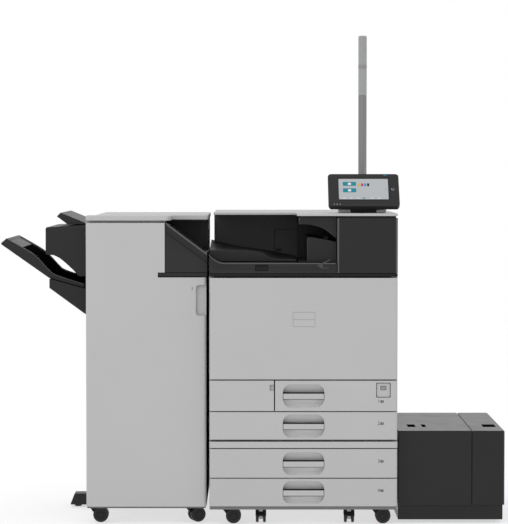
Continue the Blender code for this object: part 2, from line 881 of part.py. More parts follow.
def finisher_door():
    """One L-shaped door over the finisher's whole front, hinged at its left edge."""
    left, right = FIN_LEFT + GAP, FIN_RIGHT - GAP
    outline = [
        (left, 0.0555),
        (right, 0.0555),
        (right, 0.7740),
        (-0.2945, 0.7740),
        (-0.2945, 0.7895),
        (RECESS_LEFT - GAP, 0.7895),
        (RECESS_LEFT - GAP, 0.9440),
        (left, 0.9440),
    ]
    door = front_prism("finisher_door", outline, (FIN_FRONT, FIN_FRONT + PANEL), LIGHT)
    cut(
        door,
        block(
            "finisher_grip",
            (-0.176, right + ENOUGH),
            (FIN_FRONT - ENOUGH, FIN_FRONT + 0.012),
            (0.6545, 0.7505),
        ),
    )
    return door


def exit_cover():
    """Hood over the finisher's paper exit, open below."""
    right = FIN_LEFT - 0.0015
    outline = [
        (-0.6510, 0.9290),
        (-0.6510, 0.8424),
        (-0.6257, 0.8410),
        (-0.5900, 0.8180),
        (-0.5630, 0.7930),
        (-0.5490, 0.7770),
        (-0.5395, 0.7737),
        (right, 0.7750),
        (right, 0.9355),
    ]
    hood_shell = front_prism("finisher_exit_cover", outline, (behind(0.100), behind(0.520)), BLACK)
    cut(
        hood_shell,
        block(
            "exit_cover_inside",
            (-0.645, right + ENOUGH),
            (behind(0.108), behind(0.512)),
            (0.70, 0.918),
        ),
    )
    return hood_shell


def finisher_trays():
    """The fixed upper tray, and the shift tray with its base, which ride up and down."""
    right = FIN_LEFT - 0.0015
    upper_outline = [
        (-0.6170, 0.9627),
        (-0.5826, 0.9371),
        (right, 0.9371),
        (right, 0.9400),
        (-0.5305, 0.9440),
        (-0.6055, 0.9747),
    ]
    upper = front_prism("upper_tray", upper_outline, (behind(0.120), behind(0.540)), BLACK)
    shift_outline = [
        (LEFT_END, 0.8743),
        (-0.6420, 0.7680),
        (-0.5310, 0.7370),
        (-0.5310, 0.7491),
        (-0.6180, 0.7775),
        (-0.6420, 0.7946),
        (-0.6663, 0.8212),
        (-0.6928, 0.8452),
        (-0.7760, 0.8935),
        (LEFT_END, 0.8793),
    ]
    shift = front_prism("shift_tray", shift_outline, (behind(0.120), behind(0.510)), BLACK)
    base_outline = [
        (-0.6405, 0.7665),
        (-0.6405, 0.7369),
        (-0.5280, 0.6547),
        (-0.5225, 0.6547),
        (-0.5225, 0.7340),
        (-0.5310, 0.7360),
    ]
    base = front_prism("shift_tray_base", base_outline, (behind(0.110), behind(0.520)), BLACK)
    return upper, shift, base


def stabiliser_foot():
    y = (behind(0.400), behind(0.460))
    outline = [(-0.5995, 0.008), (-0.4950, 0.008), (-0.4950, 0.0448), (-0.5855, 0.0448)]
    foot = front_prism("stabiliser_foot", outline, y, BLACK)
    pad = turned(
        "stabiliser_pad",
        [(0.012, 0.0), (0.012, 0.012)],
        12,
        Matrix.Translation((-0.575, behind(0.430), 0)),
    )
    join(foot, pad, block("stabiliser_post", (-0.515, -0.495), y, (0.030, CARRY - GAP)))
    return foot


def finisher():
    cabinet = finisher_cabinet()
    covers = finisher_covers()
    upper, shift, base = finisher_trays()
    dock = joint(
        "finisher_dock", (FIN_RIGHT, 0, 0), cabinet, *covers, exit_cover(), upper,
        stabiliser_foot(),
    )
    joint(
        "finisher_door_hinge",
        (FIN_LEFT + PIN_INSET, FIN_FRONT + PIN_INSET, 0.0555),
        finisher_door(),
        parent=dock,
    )
    joint("shift_tray_lift", (-0.531, 0, 0.7371), shift, base, parent=dock)
    fixed_caster("finisher_rear_left_wheels", cabinet, -0.480, behind(0.560), 90, WHEEL, parent=dock)
    fixed_caster("finisher_rear_right_wheels", cabinet, -0.185, behind(0.560), 90, WHEEL, parent=dock)
    for name, caster in SWIVEL_CASTERS.items():
        if caster[3] == "finisher":
            swivel_caster(name, parent=dock)


# ---- large paper tray


def large_tray():
    """Side tray for bulk paper: tank with plinth, lift plate, and a right cover that swings down."""
    y = (LCT_FRONT, LCT_BACK)
    body = block("lct_body", (LCT_LEFT, LCT_SPLIT), y, (LCT_FLOOR - 0.001, LCT_TOP), BLACK)
    tank_y = (LCT_FRONT + 0.0055, LCT_BACK - 0.0055)
    cut_y = (LCT_FRONT + 0.025, LCT_BACK - 0.025)
    join(body, block("lct_tank", (LCT_LEFT, 0.7870), tank_y, (0.0110, LCT_TOP - 0.005)))
    room = block("lct_room", (0.475, 0.7870 + ENOUGH), cut_y, (0.0620, 0.2700))
    room_cut = body.modifiers.new("room", "BOOLEAN")
    room_cut.object = room
    hide(room)
    cover = block("lct_right_cover", (LCT_SPLIT + 0.0025, LCT_RIGHT), y, (LCT_FLOOR, LCT_TOP), BLACK)
    skin = 0.004
    inside_x = (LCT_SPLIT - ENOUGH, LCT_RIGHT - skin)
    cut(
        cover,
        block(
            "lct_cover_inside",
            inside_x,
            (y[0] + skin, y[1] - skin),
            (LCT_FLOOR - ENOUGH, LCT_TOP - skin),
        ),
    )
    plate = block(
        "lct_lift_plate",
        (0.480, 0.770),
        (cut_y[0] + 0.004, cut_y[1] - 0.004),
        (0.0640, 0.0690),
        ALUMINIUM,
    )
    dock = joint("lct_dock", (LCT_LEFT, 0, 0), body)
    joint("lct_cover_hinge", (LCT_RIGHT, 0, LCT_FLOOR), cover, parent=dock)
    joint("lct_plate_lift", (0.480, 0, 0.0640), plate, parent=dock)


start_scene()
LIGHT = material("light_grey_plastic", (0.48, 0.48, 0.48), 0.45)
BLACK = material("black_plastic", (0.020, 0.020, 0.022), 0.45)
DARK = material("dark_grey_plastic", (0.08, 0.08, 0.085), 0.5)
RUBBER = material("caster_rubber", (0.015, 0.015, 0.015), 0.7)
ALUMINIUM = material("mast_aluminium", (0.40, 0.40, 0.42), 0.4, 0.9)
LENS = material("lamp_lens", (0.45, 0.47, 0.48), 0.2)
GLASS = material("display_glass", (0.55, 0.62, 0.66), 0.1)
TONER = {
    "yellow": material("toner_yellow", (0.80, 0.62, 0.03), 0.4),
    "magenta": material("toner_magenta", (0.60, 0.02, 0.22), 0.4),
    "cyan": material("toner_cyan", (0.02, 0.35, 0.60), 0.4),
    "black": material("toner_black", (0.02, 0.02, 0.02), 0.4),
}

feeder_cabinet()
main_cabinet()
power_rocker()
side_doors()
front_door()
waste_toner_cover()
for drawer_name in DRAWERS:
    drawer(drawer_name)
engine_parts()
output_housing()
upper_right_cover()
exit_housing()
roof_cover()
bridge_unit()
bridge_lid()
touch_panel()
attention_light()
for caster_name, caster_place in SWIVEL_CASTERS.items():
    if caster_place[3] == "main":
        swivel_caster(caster_name)
finisher()
large_tray()
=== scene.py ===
"""Looks of the floor-standing copier, its finisher and its side paper tray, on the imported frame."""

import math

import bpy
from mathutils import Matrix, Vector


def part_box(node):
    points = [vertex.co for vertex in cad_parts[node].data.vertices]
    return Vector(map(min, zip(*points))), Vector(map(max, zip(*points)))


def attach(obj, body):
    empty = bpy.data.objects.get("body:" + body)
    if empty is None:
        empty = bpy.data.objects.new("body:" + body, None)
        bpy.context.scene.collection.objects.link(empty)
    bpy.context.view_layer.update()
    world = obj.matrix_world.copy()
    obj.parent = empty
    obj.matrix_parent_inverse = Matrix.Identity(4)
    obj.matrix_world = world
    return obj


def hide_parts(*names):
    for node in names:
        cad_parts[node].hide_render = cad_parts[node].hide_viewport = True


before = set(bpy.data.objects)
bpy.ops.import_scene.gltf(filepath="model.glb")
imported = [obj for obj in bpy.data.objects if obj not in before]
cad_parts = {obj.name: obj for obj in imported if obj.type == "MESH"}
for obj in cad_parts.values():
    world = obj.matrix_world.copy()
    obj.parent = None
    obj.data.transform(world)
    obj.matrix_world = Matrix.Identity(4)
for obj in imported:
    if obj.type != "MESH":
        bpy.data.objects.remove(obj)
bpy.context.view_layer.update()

FRONT = -0.3425
BACK = 0.3425


# ---- bench tools


def put_down():
    """Back to object mode with nothing selected."""
    active = bpy.context.view_layer.objects.active
    if active and active.mode != "OBJECT":
        bpy.ops.object.mode_set(mode="OBJECT")
    bpy.ops.object.select_all(action="DESELECT")


def take(piece):
    put_down()
    piece.select_set(True)
    bpy.context.view_layer.objects.active = piece


def settle(name):
    """Names the new piece and puts its place, turn and scale into its mesh."""
    piece = bpy.context.object
    piece.name = name
    piece.data.name = name
    bpy.ops.object.transform_apply(location=True, rotation=True, scale=True)
    return piece


def slab(name, x, y, z):
    put_down()
    middle = [sum(side) / 2 for side in (x, y, z)]
    size = [side[1] - side[0] for side in (x, y, z)]
    bpy.ops.mesh.primitive_cube_add(size=1, location=middle, scale=size)
    return settle(name)


def rod(name, start, end, radius, around=32):
    """A cylinder between two points."""
    put_down()
    start, end = Vector(start), Vector(end)
    way = end - start
    turn = way.to_track_quat("Z", "Y").to_euler()
    bpy.ops.mesh.primitive_cylinder_add(
        vertices=around, radius=radius, depth=way.length, location=(start + end) / 2, rotation=turn
    )
    return settle(name)


def draw(name, points):
    """One corner pulled from point to point, with its last edge left open."""
    put_down()
    here = Vector(points[0])
    bpy.ops.mesh.primitive_plane_add(size=0.001, location=here)
    bpy.ops.object.mode_set(mode="EDIT")
    bpy.ops.mesh.select_mode(type="VERT")
    bpy.ops.mesh.merge(type="CENTER")
    for point in points[1:]:
        step = Vector(point) - here
        bpy.ops.mesh.extrude_vertices_move(TRANSFORM_OT_translate={"value": step})
        here = Vector(point)
    bpy.ops.object.mode_set(mode="OBJECT")
    return settle(name)


def push(name, outline, near, far, along):
    """An outline closed and pushed from near to far along X, Y or Z."""
    order = {
        "X": lambda u,
        v,
        w: (w, u, v),
        "Y": lambda u,
        v,
        w: (u, w, v),
        "Z": lambda u,
        v,
        w: (u, v, w),
    }[along]
    piece = draw(name, [order(u, v, near) for u, v in outline])
    take(piece)
    bpy.ops.object.mode_set(mode="EDIT")
    bpy.ops.mesh.select_mode(type="VERT")
    bpy.ops.mesh.select_all(action="SELECT")
    bpy.ops.mesh.edge_face_add()
    step = Vector(order(0, 0, far)) - Vector(order(0, 0, near))
    bpy.ops.mesh.extrude_region_move(TRANSFORM_OT_translate={"value": step})
    bpy.ops.mesh.select_all(action="SELECT")
    bpy.ops.mesh.normals_make_consistent(inside=False)
    bpy.ops.object.mode_set(mode="OBJECT")
    return piece


def pick(piece, kind, test):
    """Edit mode with only the edges or faces that pass the test selected."""
    take(piece)
    bpy.ops.object.mode_set(mode="EDIT")
    bpy.ops.mesh.select_mode(type=kind)
    bpy.ops.mesh.select_all(action="DESELECT")
    bpy.ops.object.mode_set(mode="OBJECT")
    mesh = piece.data
    if kind == "EDGE":
        for edge in mesh.edges:
            ends = [mesh.vertices[v].co for v in edge.vertices]
            edge.select = test((ends[0] + ends[1]) / 2, (ends[1] - ends[0]).normalized())
    else:
        for face in mesh.polygons:
            face.select = test(face.center, face.normal)
    bpy.ops.object.mode_set(mode="EDIT")


def round_edges(piece, radius, test, steps=5):
    pick(piece, "EDGE", test)
    bpy.ops.mesh.bevel(offset=radius, segments=steps, affect="EDGES")
    bpy.ops.object.mode_set(mode="OBJECT")
    return piece


def apply(piece, modifier):
    take(piece)
    bpy.ops.object.modifier_apply(modifier=modifier.name)


def shape_with(piece, operation, tools):
    for tool in tools:
        modifier = piece.modifiers.new("shape", "BOOLEAN")
        modifier.operation = operation
        modifier.solver = "EXACT"
        modifier.object = tool
        apply(piece, modifier)
        bpy.data.objects.remove(tool)
    return piece


def carve(piece, *tools):
    return shape_with(piece, "DIFFERENCE", tools)


def weld(piece, *tools):
    return shape_with(piece, "UNION", tools)


def soften(piece, width=0.0012, steps=3, angle=28):
    """Breaks every sharp edge, as moulded covers have them, and shades the rounds smooth."""
    modifier = piece.modifiers.new("soften", "BEVEL")
    modifier.limit_method = "ANGLE"
    modifier.angle_limit = math.radians(angle)
    modifier.width = width
    modifier.segments = steps
    modifier.use_clamp_overlap = True
    apply(piece, modifier)
    return smooth(piece)


def smooth(piece, angle=32):
    """Rounds shade smooth and broad flats shade flat, whatever small faces meet them."""
    take(piece)
    bpy.ops.object.shade_smooth_by_angle(angle=math.radians(angle))
    modifier = piece.modifiers.new("flats", "WEIGHTED_NORMAL")
    modifier.keep_sharp = True
    apply(piece, modifier)
    return piece


def copy_of_node(name, node):
    """A clean copy of a frame node to work on: corners merged and flat faces made whole again."""
    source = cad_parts[node]
    put_down()
    piece = source.copy()
    piece.data = source.data.copy()
    bpy.context.scene.collection.objects.link(piece)
    piece.parent = None
    for key in [key for key in piece.keys() if key.startswith("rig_")]:
        del piece[key]
    piece.name = name
    piece.data.name = name
    piece.data.materials.clear()
    take(piece)
    bpy.ops.object.mode_set(mode="EDIT")
    bpy.ops.mesh.select_mode(type="VERT")
    bpy.ops.mesh.select_all(action="SELECT")
    bpy.ops.mesh.remove_doubles(threshold=0.00002)
    bpy.ops.mesh.dissolve_limited(angle_limit=math.radians(1))
    bpy.ops.object.mode_set(mode="OBJECT")
    return piece


def fit(piece, finish, slot, body, *nodes):
    """Gives the piece its finish and its place on a body, and hides the frame nodes it stands for."""
    piece.data.materials.clear()
    piece.data.materials.append(finish)
    for face in piece.data.polygons:
        face.material_index = 0
    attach(piece, body)
    if nodes:
        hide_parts(*nodes)
    put_down()
    return piece


def tint_faces(piece, finish, test):
    """A second finish on the faces that pass the test."""
    piece.data.materials.append(finish)
    for face in piece.data.polygons:
        if test(face.center, face.normal):
            face.material_index = len(piece.data.materials) - 1


def curve_through(points, steps=6):
    """Points of a smooth curve through the given ones."""
    points = [Vector(p) for p in points]
    points = [points[0] * 2 - points[1]] + points + [points[-1] * 2 - points[-2]]
    made = []
    for before, start, end, after in zip(points, points[1:], points[2:], points[3:]):
        for n in range(steps):
            t = n / steps
            made.append(
                0.5
                * (
                    2 * start
                    + (end - before) * t
                    + (2 * before - 5 * start + 4 * end - after) * t**2
                    + (3 * start - before - 3 * end + after) * t**3
                )
            )
    return [tuple(p) for p in made + [points[-2]]]


def upright(middle, way):
    return abs(way.z) > 0.9


def along_depth(middle, way):
    return abs(way.y) > 0.9


def along_width(middle, way):
    return abs(way.x) > 0.9


# ---- finishes


def finish_of(
    name, colour, roughness, grain=0.10, grain_scale=1400, drift=0.05, wear=0.06, metallic=0.0,
    shine=0.5,
):
    """Moulded or painted surface: fine grain, faint drift of colour, uneven gloss and rubbed edges."""
    made = bpy.data.materials.new(name)
    made.use_nodes = True
    nodes, links = made.node_tree.nodes, made.node_tree.links
    shader = nodes["Principled BSDF"]
    shader.inputs["Metallic"].default_value = metallic
    shader.inputs["Specular IOR Level"].default_value = shine
    place = nodes.new("ShaderNodeTexCoord")

    clouds = nodes.new("ShaderNodeTexNoise")
    clouds.inputs["Scale"].default_value = 5
    clouds.inputs["Detail"].default_value = 4
    links.new(place.outputs["Object"], clouds.inputs["Vector"])
    tint = nodes.new("ShaderNodeValToRGB")
    tint.color_ramp.elements[0].position = 0.3
    tint.color_ramp.elements[1].position = 0.7
    tint.color_ramp.elements[0].color = (*[c * (1 - drift) for c in colour], 1)
    tint.color_ramp.elements[1].color = (*[min(1, c * (1 + drift)) for c in colour], 1)
    links.new(clouds.outputs["Fac"], tint.inputs["Fac"])

    shape = nodes.new("ShaderNodeNewGeometry")
    edges = nodes.new("ShaderNodeMapRange")
    edges.inputs["From Min"].default_value = 0.52
    edges.inputs["From Max"].default_value = 0.62
    edges.inputs["To Max"].default_value = wear
    links.new(shape.outputs["Pointiness"], edges.inputs["Value"])
    rubbed = nodes.new("ShaderNodeMix")
    rubbed.data_type = "RGBA"
    rubbed.inputs["B"].default_value = (0.75, 0.75, 0.75, 1)
    links.new(edges.outputs["Result"], rubbed.inputs["Factor"])
    links.new(tint.outputs["Color"], rubbed.inputs["A"])
    links.new(rubbed.outputs["Result"], shader.inputs["Base Color"])

    smear = nodes.new("ShaderNodeTexNoise")
    smear.inputs["Scale"].default_value = 18
    smear.inputs["Detail"].default_value = 5
    links.new(place.outputs["Object"], smear.inputs["Vector"])
    gloss = nodes.new("ShaderNodeMapRange")
    gloss.inputs["To Min"].default_value = roughness - 0.05
    gloss.inputs["To Max"].default_value = roughness + 0.05
    links.new(smear.outputs["Fac"], gloss.inputs["Value"])
    links.new(gloss.outputs["Result"], shader.inputs["Roughness"])

    pebble = nodes.new("ShaderNodeTexNoise")
    pebble.inputs["Scale"].default_value = grain_scale
    pebble.inputs["Detail"].default_value = 2
    links.new(place.outputs["Object"], pebble.inputs["Vector"])
    relief = nodes.new("ShaderNodeBump")
    relief.inputs["Strength"].default_value = grain
    relief.inputs["Distance"].default_value = 0.0002
    links.new(pebble.outputs["Fac"], relief.inputs["Height"])
    links.new(relief.outputs["Normal"], shader.inputs["Normal"])
    return made


def tube_finish():
    """Brushed grey tube: fine rings of grain around the mast."""
    made = finish_of("anodised_tube", (0.20, 0.20, 0.205), 0.38, metallic=0.6)
    nodes, links = made.node_tree.nodes, made.node_tree.links
    place = nodes["Texture Coordinate"]
    stretch = nodes.new("ShaderNodeMapping")
    stretch.inputs["Scale"].default_value = (40, 40, 900)
    links.new(place.outputs["Object"], stretch.inputs["Vector"])
    links.new(stretch.outputs["Vector"], nodes["Noise Texture.002"].inputs["Vector"])
    nodes["Noise Texture.002"].inputs["Scale"].default_value = 1
    return made


def lamp_finish():
    """Smoky lamp lens under a thin clear coat."""
    made = finish_of("lamp_lens", (0.285, 0.29, 0.295), 0.30, grain=0.05, drift=0.03, shine=0.35)
    made.node_tree.nodes["Principled BSDF"].inputs["Coat Weight"].default_value = 0.4
    made.node_tree.nodes["Principled BSDF"].inputs["Subsurface Weight"].default_value = 0.1
    made.node_tree.nodes["Principled BSDF"].inputs["Subsurface Scale"].default_value = 0.01
    return made


def lit_finish(name, colour, strength, drift=0.02):
    made = finish_of(name, colour, 0.40, grain=0.01, drift=drift, wear=0.0, shine=0.2)
    shader = made.node_tree.nodes["Principled BSDF"]
    shader.inputs["Emission Color"].default_value = (*colour, 1)
    shader.inputs["Emission Strength"].default_value = strength
    return made


COVERS = finish_of("light_grey_covers", (0.422, 0.422, 0.422), 0.50, drift=0.012, wear=0.04, shine=0.35)
BLACK = finish_of(
    "textured_black",
    (0.0130, 0.0130, 0.0135),
    0.42,
    grain=0.22,
    grain_scale=1100,
    wear=0.008,
    shine=0.24,
)
CHARCOAL = finish_of(
    "charcoal_tray_covers",
    (0.0110, 0.0110, 0.0110),
    0.33,
    grain=0.20,
    grain_scale=1000,
    wear=0.008,
    shine=0.26,
)
# Painted highlight: a paler black for lips, rounded corners and rims, where the black covers catch light.
PAINTED_HIGHLIGHT = finish_of("black_painted_highlight", (0.075, 0.075, 0.075), 0.40, grain=0.12, wear=0.0, shine=0.4)
# Painted light: a paler black than the other black covers, for the bay wall in the shade of the bay; the
# rail's lever uses it too.
WALL = finish_of(
    "bay_wall_painted_light_black", (0.046, 0.046, 0.047), 0.45, grain=0.22, grain_scale=1100, wear=0.0,
    shine=0.3,
)
# Reflects nothing: painted shade on floors of recesses, in thin gaps, behind the grip bars and in the
# sunken tray pan; also the home key's dark centre.
RECESS = finish_of("dull_black_and_painted_shade", (0.004, 0.004, 0.004), 0.90, grain=0.05, wear=0.0, shine=0.0)
SATIN = finish_of("satin_black", (0.006, 0.006, 0.0065), 0.34, grain=0.10, wear=0.004, shine=0.2)
GREY = finish_of("mid_grey_trim", (0.22, 0.22, 0.22), 0.45)
TREAD = finish_of("nylon_tread", (0.010, 0.010, 0.010), 0.38, grain=0.15, grain_scale=500, shine=0.25)
TUBE = tube_finish()
LENS = lamp_finish()
# Much paler than the covers: painted light, to offset the shade under a grip bar.
POCKET_PAINTED_LIGHT = finish_of("pocket_painted_light", (0.72, 0.72, 0.72), 0.6, drift=0.01, wear=0.0, shine=0.2)
DARK_BOX = finish_of("dark_drawer_plastic", (0.07, 0.07, 0.075), 0.5, grain=0.2, grain_scale=900)
STEEL = finish_of(
    "zinc_plate", (0.45, 0.45, 0.46), 0.35, grain=0.15, grain_scale=300, drift=0.12, metallic=0.9,
)
INK = finish_of("printed_grey_mark", (0.008, 0.008, 0.008), 0.6, shine=0.1)
PLATE = finish_of("plate_grey", (0.24, 0.24, 0.24), 0.42, drift=0.02, wear=0.1)
BAR = finish_of("base_bar_grey", (0.125, 0.125, 0.125), 0.5, drift=0.02, wear=0.1, shine=0.3)
# Pale print on the screen and the panel's small lamps; on the panel foot the same pale grey is painted
# light, offsetting the shade under the panel.
PALE = finish_of("pale_print_and_painted_light", (0.62, 0.64, 0.65), 0.3)
SCREEN = lit_finish("screen_backlight", (0.385, 0.400, 0.412), 0.03)
TEAL = lit_finish("screen_teal", (0.010, 0.190, 0.250), 0.04)
INKS = {
    "yellow": lit_finish("screen_yellow", (0.62, 0.36, 0.01), 0.0),
    "magenta": lit_finish("screen_magenta", (0.45, 0.01, 0.13), 0.0),
    "cyan": lit_finish("screen_cyan", (0.01, 0.26, 0.38), 0.0),
    "black": lit_finish("screen_black", (0.01, 0.01, 0.01), 0.0),
}
PLASTIC = "light_grey_plastic"
DARK = "black_plastic"


# ---- main unit


MAIN_LEFT = -0.134
MAIN_RIGHT = 0.453
# Heights of the grip bars and of the fronts. The joint lines are 3 mm, and 7 mm above the strip.
GRIPS = {1: 0.4055, 2: 0.3109, 3: 0.1933, 4: 0.1029}
FRONT_HEIGHTS = {1: (0.3585, 0.4535), 2: (0.2695, 0.3555), 3: (0.1500, 0.2400), 4: (0.0600, 0.1470)}
GRIP_X = 0.160
POCKET_HALF_WIDTH = 0.06475
POCKET_HALF_HEIGHT = 0.0364
BAR_HALF_HEIGHT = 0.0100


def at_front_corner(middle, way):
    """The upright edges where the front turns into the main unit's sides."""
    outer = min(abs(middle.x - MAIN_LEFT), abs(middle.x - MAIN_RIGHT)) < 0.002
    return upright(middle, way) and outer and middle.y < FRONT + 0.001


def grip_pocket(height, x):
    """Cutter for a finger pocket: round corners, a slope down behind the bar and a hollow below it."""
    pocket = slab(
        "pocket",
        (x - POCKET_HALF_WIDTH, x + POCKET_HALF_WIDTH),
        (FRONT - 0.02, FRONT + 0.034),
        (height - POCKET_HALF_HEIGHT, height + POCKET_HALF_HEIGHT),
    )
    round_edges(pocket, 0.026, along_depth, steps=8)
    slope = [
        (-0.02, 0.040),
        (0.0004, 0.0374),
        (0.0060, 0.0295),
        (0.0120, 0.0190),
        (0.0175, 0.0080),
        (0.0250, -0.0040),
    ]
    hollow = [
        (0.0305, -0.0140),
        (0.0318, -0.0210),
        (0.0290, -0.0290),
        (0.0215, -0.0345),
        (0.0100, -0.0372),
        (-0.02, -0.0400),
    ]
    bend = curve_through([(depth, rise, 0) for depth, rise in slope[1:] + hollow[:-1]], 4)
    outline = [slope[0]] + [point[:2] for point in bend] + [hollow[-1]]
    scoop = push(
        "scoop",
        [(FRONT + depth, height + rise) for depth, rise in outline],
        x - 0.09,
        x + 0.09,
        "X",
    )
    return shape_with(pocket, "INTERSECT", [scoop])


def grip_bar(height, x):
    """The bar across a pocket: a flat face with a rounded upper edge and a turned-in lower lip."""
    y, half = FRONT + 0.0005, BAR_HALF_HEIGHT
    outline = [
        (y, height - half + 0.0015),
        (y + 0.0015, height - half),
        (y + 0.011, height - half),
        (y + 0.0135, height - half + 0.003),
        (y + 0.0135, height + half - 0.005),
        (y + 0.0105, height + half - 0.001),
        (y + 0.006, height + half),
        (y, height + half - 0.0042),
    ]
    bar = push("bar", outline, x - 0.069, x + 0.069, "X")
    for side in (-1, 1):
        edge = x + side * 0.0642
        carve(
            bar,
            slab(
                "end_gap",
                (edge - 0.0009, edge + 0.0009),
                (FRONT - 0.01, FRONT + 0.0038),
                (height - 0.02, height + 0.02),
            ),
        )
    return soften(bar, 0.0008, steps=2, angle=20)


def drawer_fronts():
    for number, height in GRIPS.items():
        node = f"tray_{number}_front"
        low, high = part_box(node)
        bottom, top = FRONT_HEIGHTS[number]
        face = slab(f"drawer_{number}_front", (low.x, high.x), (low.y, low.y + 0.020), (bottom, top))
        round_edges(face, 0.008, at_front_corner)
        round_edges(face, 0.0026, lambda m, way: m.z > top - 0.0001 and m.y < FRONT + 0.009, steps=4)
        back = slab(
            "back",
            (0.090, 0.230),
            (FRONT + 0.015, FRONT + 0.038),
            (height - 0.038, height + 0.038),
        )
        weld(face, back)
        carve(face, grip_pocket(height, GRIP_X))
        if number == 1:
            window = slab("window", (0.386, 0.431), (FRONT - 0.01, FRONT + 0.05), (0.4005, 0.4470))
            round_edges(window, 0.003, along_depth, steps=3)
            carve(face, window)
        soften(face, 0.0011)
        weld(face, grip_bar(height, GRIP_X))
        smooth(face)
        fit(face, COVERS, PLASTIC, f"tray_{number}", node)
        # Painted light: the pocket's lower hollow is much paler than the covers, to offset the shade under
        # the grip bar.
        low_z, high_z = height - 0.038, height - 0.0095
        beside = POCKET_HALF_WIDTH + 0.00125
        tint_faces(
            face,
            POCKET_PAINTED_LIGHT,
            lambda m, way: abs(m.x - GRIP_X) < beside and low_z < m.z < high_z and m.y > FRONT + 0.0016,
        )
        # Painted shade: a dull black sheet behind the grip bar, showing as a dark outline around it.
        rim = slab(
            f"drawer_{number}_bar_shade_rim",
            (GRIP_X - 0.0649, GRIP_X + 0.0649),
            (FRONT + 0.0026, FRONT + 0.0034),
            (height - 0.0114, height + 0.0114),
        )
        fit(rim, RECESS, "dark_grey_plastic", f"tray_{number}")
        box = copy_of_node(f"drawer_{number}_box", f"tray_{number}_box")
        soften(box, 0.0006, steps=2)
        fit(box, DARK_BOX, "dark_grey_plastic", f"tray_{number}", f"tray_{number}_box")
        drawer_number(number)


def drawer_number(number):
    """The drawer's plain number with a block and two plain bars beside it."""
    low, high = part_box(f"tray_{number}_front")
    level = low.z + 0.0275 if number == 1 else (low.z + high.z) / 2 + 0.008
    put_down()
    bpy.ops.object.text_add(location=(0.391, FRONT - 0.0001, level - 0.004), rotation=(math.pi / 2, 0, 0))
    text = bpy.context.object
    text.data.body = str(number)
    text.data.size = 0.0145
    text.data.extrude = 0.0002
    bpy.ops.object.convert(target="MESH")
    digit = settle(f"drawer_{number}_number")
    fit(digit, INK, PLASTIC, f"tray_{number}")
    mark = slab("mark", (0.400, 0.404), (FRONT - 0.0003, FRONT + 0.0005), (level - 0.004, level + 0.004))
    for n in range(2):
        bar = slab(
            "bar",
            (0.4055 + n * 0.0025, 0.4070 + n * 0.0025),
            (FRONT - 0.0003, FRONT + 0.0005),
            (level - 0.004, level + 0.004),
        )
        weld(mark, bar)
    mark.name = f"drawer_{number}_level_mark"
    fit(mark, INK, PLASTIC, f"tray_{number}")


def front_door():
    low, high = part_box("front_door")
    door = slab("front_door_cover", (low.x, high.x), (low.y, high.y), (low.z, high.z))
    round_edges(door, 0.008, at_front_corner)
    notch = slab("notch", (low.x - 0.02, MAIN_LEFT + 0.003), (FRONT - 0.02, FRONT + 0.05), (0.671, 0.729))
    under = slab("under", (low.x - 0.02, MAIN_LEFT + 0.016), (FRONT + 0.008, FRONT + 0.05), (0.671, 0.729))
    carve(door, notch, under)
    soften(door, 0.0011)
    fit(door, COVERS, PLASTIC, "front_door", "front_door")
    plate = slab("door_plate", (0.1265, 0.1955), (FRONT - 0.0004, FRONT + 0.001), (0.6215, 0.6675))
    round_edges(plate, 0.002, along_depth, steps=3)
    rim = slab("rim", (0.1276, 0.1944), (FRONT - 0.002, FRONT + 0.002), (0.6226, 0.6436))
    upper = slab("upper", (0.1276, 0.1944), (FRONT - 0.002, FRONT + 0.002), (0.6446, 0.6664))
    carve(plate, rim, upper)
    fit(plate, PLATE, PLASTIC, "front_door")


def waste_cover():
    low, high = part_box("waste_toner_cover")
    cover = slab("waste_cover_panel", (low.x, high.x), (low.y, high.y), (FRONT_HEIGHTS[1][0], high.z))
    round_edges(cover, 0.008, at_front_corner)
    grip = slab("grip", (0.054, high.x + 0.02), (FRONT - 0.02, FRONT + 0.008), (0.4217, 0.4410))
    round_edges(grip, 0.003, lambda middle, way: abs(way.y) > 0.9 and middle.x < 0.055, steps=3)
    carve(cover, grip)
    soften(cover, 0.0011)
    fit(cover, COVERS, PLASTIC, "waste_cover", "waste_toner_cover")


def vent(x, y, z, step=0.010, slot=0.0045):
    """A row of upright or level slots as one cutter, long along Z."""
    cutters = None
    along_x = (x[1] - x[0]) > (y[1] - y[0])
    run = x if along_x else y
    count = int((run[1] - run[0]) / step)
    for n in range(count):
        start = run[0] + n * step
        side = (start, start + slot)
        one = slab("slot", side if along_x else x, y if along_x else side, z)
        cutters = join([cutters, one]) if cutters else one
    return cutters


def join(pieces):
    """Several pieces in one mesh."""
    put_down()
    for piece in pieces:
        piece.select_set(True)
    bpy.context.view_layer.objects.active = pieces[0]
    bpy.ops.object.join()
    return pieces[0]


